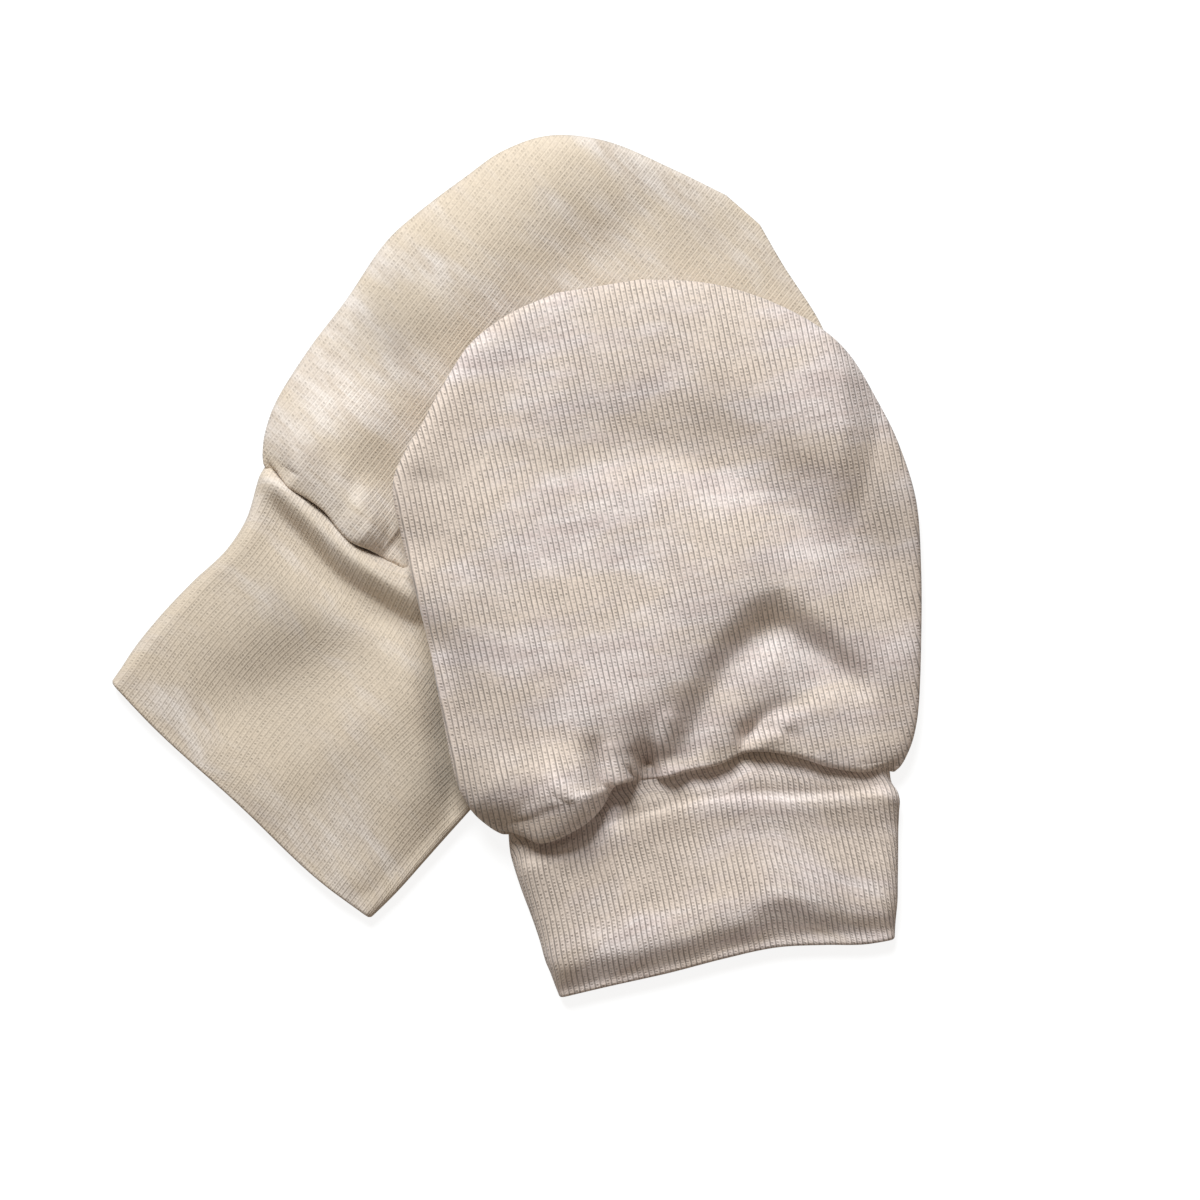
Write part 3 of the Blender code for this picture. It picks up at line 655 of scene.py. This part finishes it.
def under_surface(mitten, wall):
    """The under panel's middle surface and grain: flat with a few low folds, its edges turned up."""
    share = crowded(UNDER_COLUMNS, UNDER_CROWDING)[None, :]
    rows = (crowded(UNDER_ROWS, UNDER_CROWDING) + 1.0) / 2.0
    even = even_places(mitten.outline, FINE_PLACES)
    place = np.interp(rows, np.linspace(0.0, 1.0, len(even)), even)[:, None]
    u, v, _ = plan_of(mitten, share + 0.0 * place, place + 0.0 * share)
    from_edge = from_rim(np.stack((u, v), axis=2))
    from_edge[0] = 0.0
    from_edge[-1] = 0.0
    from_edge[:, (0, -1)] = 0.0
    bend = UNDER_EDGE_BEND
    missing = np.clip(bend - from_edge, 0.0, bend)
    z = wall / 2.0 + bend - np.sqrt(bend * bend - missing * missing)
    z += crease_height(mitten.under_creases, u, v) * smooth_step(0.0, UNDER_FOLD_START, from_edge)
    grid = np.stack((u, v, z), axis=2)
    return curled(grid, grid[..., :2], UNDER_SEAM_HEIGHT, ("left", "right", "tip", "wrist"))


def closed_rings(rings):
    """The rings closed on themselves and the last one on the first."""
    rings = np.concatenate((rings, rings[:, :1]), axis=1)
    return np.concatenate((rings, rings[:1]), axis=0)


def ledge_height(mitten, u, v):
    """How far the cuff's outer layer stands up or lies in on either side of its ledge."""
    if mitten.ledge is None:
        return 0.0
    below = read(mitten.ledge, "across", "line", u) - v
    return read(mitten.ledge_steps, "below", "height", below) * read(mitten.ledge, "across", "share", u)


def cuff_surface(mitten, wall):
    """The cuff and its grain: rings down its outer side to the hem, round the hem and back up inside."""
    half = wall / 2.0
    hem = math.pi * np.arange(1, HEM_STEPS) / HEM_STEPS
    outer = np.linspace(0.0, 1.0, CUFF_ROWS)
    inner = np.linspace(1.0, 0.0, CUFF_INNER_ROWS)
    shares = np.concatenate((outer, np.ones(len(hem)), inner, np.zeros(len(hem))))[:, None]
    offs = np.concatenate((np.ones(len(outer)), np.cos(hem), -np.ones(len(inner)), -np.cos(hem)))
    offs = offs[:, None] * half
    beyond = np.concatenate((0.0 * outer, np.sin(hem), 0.0 * inner, -np.sin(hem)))[:, None] * half
    left = read(mitten.cuff_sides, "share", "left", shares) - offs
    right = read(mitten.cuff_sides, "share", "right", shares) + offs
    height = read(mitten.cuff_sides, "share", "height", shares)
    bend = (height + offs - (half - offs)) / 2.0
    flat = np.linspace(0.0, 1.0, CUFF_ACROSS)[None, :]
    lying = left + bend + (right - left - 2.0 * bend) * flat
    turns = math.pi * np.arange(1, CUFF_CORNER + 1)[None, :] / (CUFF_CORNER + 1)
    to_right = right - bend + bend * np.sin(turns)
    to_left = left + bend - bend * np.sin(turns)
    u = np.concatenate((lying, to_right, lying[:, ::-1], to_left), axis=1)
    risen = (1.0 - np.cos(turns)) / 2.0
    up = np.concatenate((0.0 * flat, risen, 0.0 * flat + 1.0, 1.0 - risen), axis=1)
    seam = read(mitten.wrist, "across", "seam", u) - WRIST_GAP / 2.0 + TUCK_IN * up ** 3
    line = read(mitten.hem, "across", "line", u) - read(mitten.hem, "across", "under", u) * (1.0 - up)
    v = seam + (line - seam) * shares - beyond
    waves = CUFF_WAVINESS * unevenness(u, v, mitten.turn + CUFF_WAVE_SHIFT)
    folds = crease_height(mitten.cuff_creases, u, v) + waves
    inside = smooth_step(0.0, CUFF_SIDE_REACH, np.minimum(u - left, right - u))
    kept = CUFF_SIDE_FOLDS + (1.0 - CUFF_SIDE_FOLDS) * inside
    body = height + folds * kept + ledge_height(mitten, u, v)
    floor = half - offs
    least = half + wall + CUFF_ROOM
    body = (body + least + np.sqrt((body - least) ** 2 + CUFF_SOFTNESS)) / 2.0
    z = floor + (body + offs - floor) * up
    plain = floor + (height + offs - floor) * up
    home = CUFF_ACROSS + CUFF_CORNER + CUFF_ACROSS // 2
    grain = grain_of(closed_rings(np.stack((u, v, plain), axis=2)), CUFF_ROWS // 2, home)
    return closed_rings(np.stack((u, v, z), axis=2)), grain


def to_world(mitten, u, v):
    turn = math.radians(mitten.turn)
    x = mitten.place[0] + u * math.cos(turn) - v * math.sin(turn)
    y = mitten.place[1] + u * math.sin(turn) + v * math.cos(turn)
    return x, y


def shifted(field, rows, columns):
    """The field moved by whole cells, its edge values repeated."""
    take_rows = np.clip(np.arange(field.shape[0]) - rows, 0, field.shape[0] - 1)
    take_columns = np.clip(np.arange(field.shape[1]) - columns, 0, field.shape[1] - 1)
    return field[take_rows][:, take_columns]


def drape_field(mitten, pieces):
    """Height of the cloth laid over the pieces below, on a grid over this mitten."""
    side = max(row.right for row in mitten.outline) + DRAPE_MARGIN
    low = mitten.hem[0].line - DRAPE_MARGIN
    high = mitten.outline[-1].along + DRAPE_MARGIN
    us = np.arange(-side, side, DRAPE_CELL)
    vs = np.arange(low, high, DRAPE_CELL)
    depsgraph = bpy.context.evaluated_depsgraph_get()
    trees = [BVHTree.FromObject(piece, depsgraph) for piece in pieces]
    field = np.zeros((len(vs), len(us)))
    down = Vector((0.0, 0.0, -1.0))
    for row, v in enumerate(vs):
        for col, u in enumerate(us):
            x, y = to_world(mitten, u, v)
            for tree in trees:
                hit = tree.ray_cast(Vector((x, y, RAY_START)) * MM, down)[0]
                if hit is not None:
                    field[row, col] = max(field[row, col], hit.z / MM + DRAPE_ROOM)
    reach = int(round(DRAPE_REACH / DRAPE_CELL))
    disc = [(r, c) for r in range(-reach, reach + 1) for c in range(-reach, reach + 1)
            if r * r + c * c <= reach * reach]
    tight = np.max([shifted(field, r, c) for r, c in disc], axis=0)
    tight = np.mean([shifted(tight, r, c) for r, c in disc], axis=0)
    loose = tight
    span = range(-DRAPE_SPAN, DRAPE_SPAN + 1)
    for _ in range(DRAPE_SOFTENING):
        loose = np.mean([shifted(loose, cells, 0) for cells in span], axis=0)
        loose = np.mean([shifted(loose, 0, cells) for cells in span], axis=0)
    return us, vs, tight, loose


def lay_on(grid, drape, looseness=0.0):
    """Raises a surface by the drape's height: tight where looseness is 0, bridging hollows where it is 1."""
    us, vs, tight, loose = drape
    col = np.clip((grid[..., 0] - us[0]) / DRAPE_CELL, 0.0, len(us) - 1.001)
    row = np.clip((grid[..., 1] - vs[0]) / DRAPE_CELL, 0.0, len(vs) - 1.001)
    c = col.astype(int)
    r = row.astype(int)
    fc = col - c
    fr = row - r
    laid = grid.copy()
    rise = []
    for field in (tight, loose):
        near = field[r, c] * (1 - fc) + field[r, c + 1] * fc
        far = field[r + 1, c] * (1 - fc) + field[r + 1, c + 1] * fc
        rise.append(near * (1 - fr) + far * fr)
    floor = rise[0] + PANEL_ROOM
    free = grid[..., 2] + rise[0] + (rise[1] - rise[0]) * looseness
    kept = (floor + free + np.sqrt((floor - free) ** 2 + 1.0)) / 2.0
    laid[..., 2] = free + (kept - free) * looseness
    return laid


def from_rim(grid, with_wrist=True):
    """Distance in plan of each point of a panel from its edges."""
    plan = grid[..., :2]
    rim = [plan[:, 0], plan[-1], plan[::-1, -1]]
    if with_wrist:
        rim.append(plan[0, ::-1])
    rim = np.concatenate(rim)[::3]
    return np.min([np.hypot(grid[..., 0] - point[0], grid[..., 1] - point[1]) for point in rim], axis=0)


# Cloth

def grain_of(grid, home_row, home_column):
    """The cloth's own flat coordinates in millimetres: across the wales and along them, as it was cut."""
    step = np.diff(grid, axis=1)
    across = np.zeros(grid.shape[:2])
    across[:, 1:] = np.cumsum(np.hypot(step[..., 0], step[..., 2]), axis=1)
    across += grid[:, home_column, 0][:, None] - across[:, home_column][:, None]
    step = np.diff(grid, axis=0)
    along = np.zeros(grid.shape[:2])
    along[1:] = np.cumsum(np.hypot(step[..., 1], step[..., 2]), axis=0)
    along += grid[home_row, :, 1][None, :] - along[home_row][None, :]
    return np.stack((across, along), axis=2)


def tint_and_painted_shade_of(mitten, grid):
    """How much painted shade, with some of the yarn's own tan tint, lies at each point; below 0 where light
    is painted on.
    """
    total = np.zeros(grid.shape[:2])
    for spot in mitten.blotches:
        off_u = (grid[..., 0] - spot.across) / spot.reach_across
        off_v = (grid[..., 1] - spot.along) / spot.reach_along
        total += spot.amount * np.exp(-(off_u * off_u + off_v * off_v))
    return total


def cloth_piece(name, mitten, grid, grain, material, body_wall=None):
    """One piece of cloth: a grid shaped to the surface, with its grain, its spots of tint and painted shade,
    and its wall.
    """
    rows, columns = grid.shape[:2]
    x, y = to_world(mitten, grid[..., 0], grid[..., 1])
    places = (np.stack((x, y, grid[..., 2]), axis=2) * MM).reshape(-1, 3)
    flat = (grain * MM).reshape(-1, 2)
    spots = tint_and_painted_shade_of(mitten, grid).ravel()
    work = bmesh.new()
    bmesh.ops.create_grid(work, x_segments=columns - 1, y_segments=rows - 1, size=1.0)
    uv = work.loops.layers.uv.new("grain")
    blotch = work.verts.layers.float.new("blotch")
    for vert, place, spot in zip(work.verts, places.tolist(), spots.tolist()):
        vert.co = place
        vert[blotch] = spot
    flat = flat.tolist()
    for face in work.faces:
        for corner in face.loops:
            corner[uv].uv = flat[corner.vert.index]
    bmesh.ops.remove_doubles(work, verts=work.verts, dist=MERGE_DISTANCE)
    bmesh.ops.recalc_face_normals(work, faces=work.faces)
    mesh = bpy.data.meshes.new(name)
    work.to_mesh(mesh)
    work.free()
    mesh.shade_smooth()
    mesh.materials.append(material)
    piece = bpy.data.objects.new(name, mesh)
    bpy.context.scene.collection.objects.link(piece)
    if body_wall is not None:
        wall = piece.modifiers.new("Cloth wall", "SOLIDIFY")
        wall.thickness = body_wall * MM
        wall.offset = 0.0
        wall.use_even_offset = False
    return piece


def declare(piece, mitten, part):
    """Hangs the piece on the root and hides the imported part that it stands for."""
    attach(piece, "root")
    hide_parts(f"{mitten.name}_mitten_{part}")


# Materials

def fill(node, values):
    """Sets a node's inputs by their names."""
    for name, value in values.items():
        node.inputs[name].default_value = value


class Graph:
    """Short spelling for the nodes of one material."""

    def __init__(self, material):
        self.tree = material.node_tree

    def node(self, kind, **settings):
        made = self.tree.nodes.new(kind)
        for name, value in settings.items():
            setattr(made, name, value)
        return made

    def feed(self, socket, value):
        if isinstance(value, bpy.types.NodeSocket):
            self.tree.links.new(value, socket)
        else:
            socket.default_value = value

    def maths(self, operation, *values):
        made = self.node("ShaderNodeMath", operation=operation)
        for socket, value in zip(made.inputs, values):
            self.feed(socket, value)
        return made.outputs[0]

    def plus(self, first, second):
        return self.maths("ADD", first, second)

    def less(self, first, second):
        return self.maths("SUBTRACT", first, second)

    def times(self, first, second):
        return self.maths("MULTIPLY", first, second)

    def range(self, value, low, high, to_low, to_high, smooth=True):
        made = self.node("ShaderNodeMapRange", interpolation_type="SMOOTHSTEP" if smooth else "LINEAR")
        for socket, given in zip(made.inputs, (value, low, high, to_low, to_high)):
            self.feed(socket, given)
        return made.outputs[0]

    def noise(self, vector, scale, detail=2.0, roughness=0.5):
        made = self.node("ShaderNodeTexNoise", noise_dimensions="3D")
        self.feed(made.inputs["Vector"], vector)
        fill(made, {"Scale": scale, "Detail": detail, "Roughness": roughness})
        return made.outputs["Fac"]

    def vector(self, x, y, z=0.0):
        made = self.node("ShaderNodeCombineXYZ")
        for socket, value in zip(made.inputs, (x, y, z)):
            self.feed(socket, value)
        return made.outputs[0]

    def mix(self, share, first, second):
        made = self.node("ShaderNodeMix", data_type="RGBA", blend_type="MIX", clamp_factor=True)
        self.feed(made.inputs["Factor"], share)
        self.feed(made.inputs[6], first)
        self.feed(made.inputs[7], second)
        return made.outputs[2]


def heathered_jersey(name, cloth, light, dark, tan, contrast, ribs):
    """Fine single jersey: rows of slanted loops with painted shade in their gaps, streaks of light and dark
    fibre, soft blotches, and spots of tint and painted shade.
    """
    material = bpy.data.materials.new(name)
    material.use_nodes = True
    g = Graph(material)
    shader = material.node_tree.nodes["Principled BSDF"]
    grain = g.node("ShaderNodeUVMap", uv_map="grain").outputs[0]
    parts = g.node("ShaderNodeSeparateXYZ")
    g.feed(parts.inputs[0], grain)
    across, along = parts.outputs[0], parts.outputs[1]

    sway = g.noise(g.vector(across, along, 0.37), 90.0, 2.0)
    shift = g.times(g.less(sway, 0.5), cloth.wale_width * 0.5)
    lean = g.times(along, cloth.spirality)
    wale = g.maths("DIVIDE", g.plus(g.plus(across, shift), lean), cloth.wale_width)
    in_wale = g.maths("FRACT", wale)
    from_gap = g.maths("MINIMUM", in_wale, g.less(1.0, in_wale))
    jitter = g.times(g.less(g.noise(grain, 420.0, 2.0), 0.5), 0.5)
    slant = g.times(in_wale, LEG_SLANT)
    course = g.plus(g.plus(g.maths("DIVIDE", along, cloth.course_height), slant), jitter)
    in_course = g.maths("FRACT", course)
    stitch = g.node("ShaderNodeTexWhiteNoise", noise_dimensions="2D")
    g.feed(stitch.inputs["Vector"], g.vector(g.maths("FLOOR", wale), g.maths("FLOOR", course)))
    # The gaps between the wales, the holes in the loops and the lower right leg shape the bump's relief and,
    # through the colour below, paint the stitches' shade.
    patches = g.noise(g.vector(across, along, 4.4), 300.0, 2.0)
    patchy = g.range(patches, 0.35, 0.7, 1.0 - ribs, 1.0 - 0.6 * ribs)
    gap_relief_and_painted_shade = g.range(from_gap, 0.02, 0.2, patchy, 1.0)
    leg_relief_and_painted_shade = g.range(in_wale, 0.3, 0.55, 1.0, 0.82)
    beside = g.maths("POWER", g.maths("DIVIDE", g.less(in_wale, HOLE_ACROSS), HOLE_WIDTH), 2.0)
    beyond = g.maths("POWER", g.maths("DIVIDE", g.less(in_course, 0.5), HOLE_HEIGHT), 2.0)
    hole = g.range(g.plus(beside, beyond), 0.25, 1.3, 0.0, 1.0)
    shut = g.range(stitch.outputs[0], 0.0, 1.0, 0.35, 0.9, smooth=False)
    opened = g.plus(hole, g.times(g.less(1.0, hole), shut))
    loops = g.times(g.times(gap_relief_and_painted_shade, leg_relief_and_painted_shade), opened)

    row = g.times(g.maths("FLOOR", course), cloth.course_height)
    streaks = g.noise(g.vector(g.times(across, 0.16), row, 1.1), 1500.0, 2.0, 0.6)
    clumps = g.noise(g.vector(g.times(across, 0.28), along, 2.7), 330.0, 3.0, 0.55)
    fibre = g.noise(g.vector(across, along, 5.3), 2600.0, 2.0, 0.7)
    blotches = g.noise(g.vector(g.times(across, 0.35), along, 8.9), 130.0, 3.0, 0.55)
    # The mitten's spots: the yarn's tan tint and painted shade, and painted light where they are below 0.
    # They tan the colour and darken it below.
    painted_shade_and_tint = g.node("ShaderNodeAttribute", attribute_name="blotch").outputs["Fac"]

    heather = g.plus(g.times(streaks, 0.3), g.times(clumps, 0.7))
    pale = g.mix(g.range(heather, 0.32, 0.68, 0.0, 1.0), dark, light)
    warm = g.range(g.plus(blotches, g.times(painted_shade_and_tint, 0.2)), 0.4, 0.68, 0.0, 0.9)
    tinted = g.mix(warm, pale, tan)
    # Painted shade of the stitches: darker in their gaps and holes and on the right leg, lighter on the
    # loops.
    depth = g.range(loops, 0.0, 0.9, 1.0 - contrast, 1.0 + 0.3 * contrast)
    speck = g.range(fibre, 0.25, 0.75, 1.0 - 0.35 * contrast, 1.0 + 0.35 * contrast, smooth=False)
    # Darkens the colour where the spots lie: painted shade, with some of the yarn's own darker tint.
    painted_spot_darkening = g.less(1.0, g.times(painted_shade_and_tint, 0.17))
    shade = g.times(g.times(depth, speck), painted_spot_darkening)
    tint = g.node("ShaderNodeVectorMath", operation="SCALE")
    g.feed(tint.inputs[0], tinted)
    g.feed(tint.inputs["Scale"], shade)
    g.feed(shader.inputs["Base Color"], tint.outputs[0])

    relief = g.plus(loops, g.times(fibre, 0.25))
    bump = g.node("ShaderNodeBump")
    fill(bump, {"Strength": 0.3 + 0.8 * contrast, "Distance": cloth.stitch_depth})
    g.feed(bump.inputs["Height"], relief)
    g.feed(shader.inputs["Normal"], bump.outputs[0])
    fill(shader, {
        "Roughness": 0.92, "Specular IOR Level": 0.2, "Sheen Weight": 0.25, "Sheen Roughness": 0.5,
    })
    return material


# Settings and operators

FINE_LENGTH = {"precision": 5, "subtype": "DISTANCE", "unit": "LENGTH"}
COLOR = {"size": 3, "subtype": "COLOR", "min": 0.0, "max": 1.0}


class MittensCloth(bpy.types.PropertyGroup):
    panel_wall: bpy.props.FloatProperty(
        name="Jersey", description="Thickness of one layer of jersey with its nap",
        default=0.0008, min=0.0003, max=0.003, **FINE_LENGTH)
    cuff_wall: bpy.props.FloatProperty(
        name="Folded cuff", description="Thickness of the cuff's cloth, folded double",
        default=0.0012, min=0.0006, max=0.004, **FINE_LENGTH)
    wale_width: bpy.props.FloatProperty(
        name="Wale", description="Width of one column of stitches",
        default=0.00083, min=0.0003, max=0.004, **FINE_LENGTH)
    course_height: bpy.props.FloatProperty(
        name="Course", description="Height of one row of stitches",
        default=0.0005, min=0.0002, max=0.004, **FINE_LENGTH)
    stitch_depth: bpy.props.FloatProperty(
        name="Stitch depth", description="How far the loops stand out of the cloth",
        default=0.00022, min=0.0, max=0.001, **FINE_LENGTH)
    spirality: bpy.props.FloatProperty(
        name="Spirality", description="How far the stitch columns lean across for each length along",
        default=0.05, min=-0.3, max=0.3)


class MittensColors(bpy.types.PropertyGroup):
    front_light: bpy.props.FloatVectorProperty(
        name="Front, light fibre", description="Pale fibre of the front mitten's yarn",
        **COLOR, default=(0.745, 0.66, 0.622))
    front_dark: bpy.props.FloatVectorProperty(
        name="Front, dark fibre", description="Brown fibre of the front mitten's yarn",
        **COLOR, default=(0.6, 0.5, 0.46))
    front_tan: bpy.props.FloatVectorProperty(
        name="Front, tan patches", description="Colour of the front mitten's yellower patches",
        **COLOR, default=(0.655, 0.545, 0.455))
    back_light: bpy.props.FloatVectorProperty(
        name="Back, light fibre", description="Pale fibre of the back mitten's yarn",
        **COLOR, default=(0.725, 0.65, 0.585))
    back_dark: bpy.props.FloatVectorProperty(
        name="Back, dark fibre", description="Brown fibre of the back mitten's yarn",
        **COLOR, default=(0.565, 0.475, 0.39))
    back_tan: bpy.props.FloatVectorProperty(
        name="Back, tan patches", description="Colour of the back mitten's yellower patches",
        **COLOR, default=(0.625, 0.52, 0.4))


class MittensStage(bpy.types.PropertyGroup):
    floor_size: bpy.props.FloatProperty(
        name="Floor", description="Width of the pale floor",
        default=6.0, min=0.5, max=20.0, subtype="DISTANCE", unit="LENGTH")
    key_power: bpy.props.FloatProperty(
        name="Key light", description="Power of the large soft light above the tips",
        default=31.0, min=0.0, max=1000.0, subtype="POWER", unit="POWER")
    sky: bpy.props.FloatProperty(
        name="Room light", description="Strength of the even light all round",
        default=0.27, min=0.0, max=5.0)


def jersey_of(mitten):
    colors = bpy.context.scene.mittens_colors
    cloth = bpy.context.scene.mittens_cloth
    yarns = [(*getattr(colors, f"{mitten.name}_{tone}"), 1.0) for tone in ("light", "dark", "tan")]
    return heathered_jersey(f"{mitten.name}_heathered_jersey", cloth, *yarns, mitten.contrast, mitten.ribs)


def drape_over_back(mitten):
    below = [bpy.data.objects[name] for name in BACK_PIECES]
    bpy.context.view_layer.update()
    return drape_field(mitten, below)


def looseness_of(top):
    """How freely the top panel lies: held down at its seams and under its lip, free in its middle."""
    rows = np.arange(len(top))[:, None] / ROLL_STEPS
    away = smooth_step(LOOSE_START, LOOSE_FULL, from_rim(top, with_wrist=False))
    return away * smooth_step(0.0, 1.0, rows)


def build_mitten(mitten, drape=None):
    cloth = bpy.context.scene.mittens_cloth
    material = jersey_of(mitten)
    panel_wall = cloth.panel_wall / MM
    under, under_grain = under_surface(mitten, panel_wall)
    cuff, cuff_grain = cuff_surface(mitten, cloth.cuff_wall / MM)
    top, top_grain = top_surface(mitten)
    if drape is not None:
        under = lay_on(under, drape)
        cuff = lay_on(cuff, drape)
        top = lay_on(top, drape, looseness_of(top))
    pieces = {
        "under": cloth_piece(f"{mitten.name}_hand_under", mitten, under, under_grain, material, panel_wall),
        "cuff": cloth_piece(f"{mitten.name}_cuff_band", mitten, cuff, cuff_grain, material),
        "top": cloth_piece(f"{mitten.name}_hand_top", mitten, top, top_grain, material, panel_wall),
    }
    declare(pieces["under"], mitten, "under_panel")
    declare(pieces["cuff"], mitten, "cuff")
    declare(pieces["top"], mitten, "top_panel")


class MITTENS_OT_back(bpy.types.Operator):
    """Build the back mitten: its under panel, cuff and top panel"""

    bl_idname = "mittens.back"
    bl_label = "Back Mitten"

    def execute(self, context):
        build_mitten(BACK)
        return {"FINISHED"}


class MITTENS_OT_front(bpy.types.Operator):
    """Build the front mitten, draped over the back one"""

    bl_idname = "mittens.front"
    bl_label = "Front Mitten"

    def execute(self, context):
        if "back_hand_top" not in bpy.data.objects:
            raise RuntimeError("the back mitten has to lie there first")
        build_mitten(FRONT, drape_over_back(FRONT))
        return {"FINISHED"}


class MITTENS_OT_stage(bpy.types.Operator):
    """Lay the pale floor and set the soft lights and the camera above it"""

    bl_idname = "mittens.stage"
    bl_label = "Stage"

    def execute(self, context):
        stage = context.scene.mittens_stage
        floor = pale_floor(stage.floor_size)
        soft_light("key_light", KEY_PLACE, KEY_SIZE, stage.key_power, KEY_COLOR)
        room = bpy.data.worlds.new("pale_room")
        room.use_nodes = True
        fill(room.node_tree.nodes["Background"], {"Color": ROOM_COLOR, "Strength": stage.sky})
        context.scene.world = room
        context.scene.view_settings.view_transform = "Standard"
        camera_above(CAMERA_HEIGHT)
        return {"FINISHED"}


def camera_above(height):
    """A far camera with a long lens, straight above the pair."""
    lens = bpy.data.cameras.new("camera_above")
    lens.sensor_width = SENSOR
    lens.lens = SENSOR * height / FRAME_WIDTH
    lens.clip_start = 0.05
    lens.clip_end = 50.0
    camera = bpy.data.objects.new("camera_above", lens)
    camera.location = (*FRAME_MIDDLE, height)
    bpy.context.scene.collection.objects.link(camera)
    bpy.context.scene.camera = camera


def pale_floor(size):
    work = bmesh.new()
    bmesh.ops.create_grid(work, x_segments=4, y_segments=4, size=size / 2.0)
    mesh = bpy.data.meshes.new("pale_floor")
    work.to_mesh(mesh)
    work.free()
    white = bpy.data.materials.new("pale_paper")
    white.use_nodes = True
    fill(white.node_tree.nodes["Principled BSDF"], {
        "Base Color": FLOOR_COLOR, "Emission Color": (1.0, 1.0, 1.0, 1.0), "Emission Strength": FLOOR_GLOW,
        "Roughness": 1.0, "Specular IOR Level": 0.0,
    })
    mesh.materials.append(white)
    floor = bpy.data.objects.new("pale_floor", mesh)
    floor.visible_diffuse = False
    bpy.context.scene.collection.objects.link(floor)
    return floor


def soft_light(name, place, size, power, color):
    lamp = bpy.data.lights.new(name, "AREA")
    lamp.shape = "DISK"
    lamp.size = size
    lamp.energy = power
    lamp.color = color
    light = bpy.data.objects.new(name, lamp)
    light.location = place
    aim = Vector((*FRAME_MIDDLE, 0.0)) - Vector(place)
    light.rotation_euler = aim.to_track_quat("-Z", "Y").to_euler()
    bpy.context.scene.collection.objects.link(light)


class MITTENS_PT_panel(bpy.types.Panel):
    """Sizes, colours and steps of the pair of mittens"""

    bl_idname = "MITTENS_PT_panel"
    bl_label = "Baby Mittens"
    bl_space_type = "VIEW_3D"
    bl_region_type = "UI"
    bl_category = "Mittens"

    def draw(self, context):
        layout = self.layout
        scene = context.scene
        for settings in (scene.mittens_cloth, scene.mittens_colors, scene.mittens_stage):
            box = layout.box()
            for name in settings.bl_rna.properties.keys():
                if name not in {"rna_type", "name"}:
                    box.prop(settings, name)
        for operator in (MITTENS_OT_back, MITTENS_OT_front, MITTENS_OT_stage):
            layout.operator(operator.bl_idname)


CLASSES = (
    MittensCloth,
    MittensColors,
    MittensStage,
    MITTENS_OT_back,
    MITTENS_OT_front,
    MITTENS_OT_stage,
    MITTENS_PT_panel,
)


def register():
    for kind in CLASSES:
        bpy.utils.register_class(kind)
    bpy.types.Scene.mittens_cloth = bpy.props.PointerProperty(type=MittensCloth)
    bpy.types.Scene.mittens_colors = bpy.props.PointerProperty(type=MittensColors)
    bpy.types.Scene.mittens_stage = bpy.props.PointerProperty(type=MittensStage)


def unregister():
    del bpy.types.Scene.mittens_stage
    del bpy.types.Scene.mittens_colors
    del bpy.types.Scene.mittens_cloth
    for kind in reversed(CLASSES):
        bpy.utils.unregister_class(kind)


def main():
    register()
    bpy.ops.mittens.back()
    bpy.ops.mittens.front()
    bpy.ops.mittens.stage()


if __name__ == "__main__":
    main()
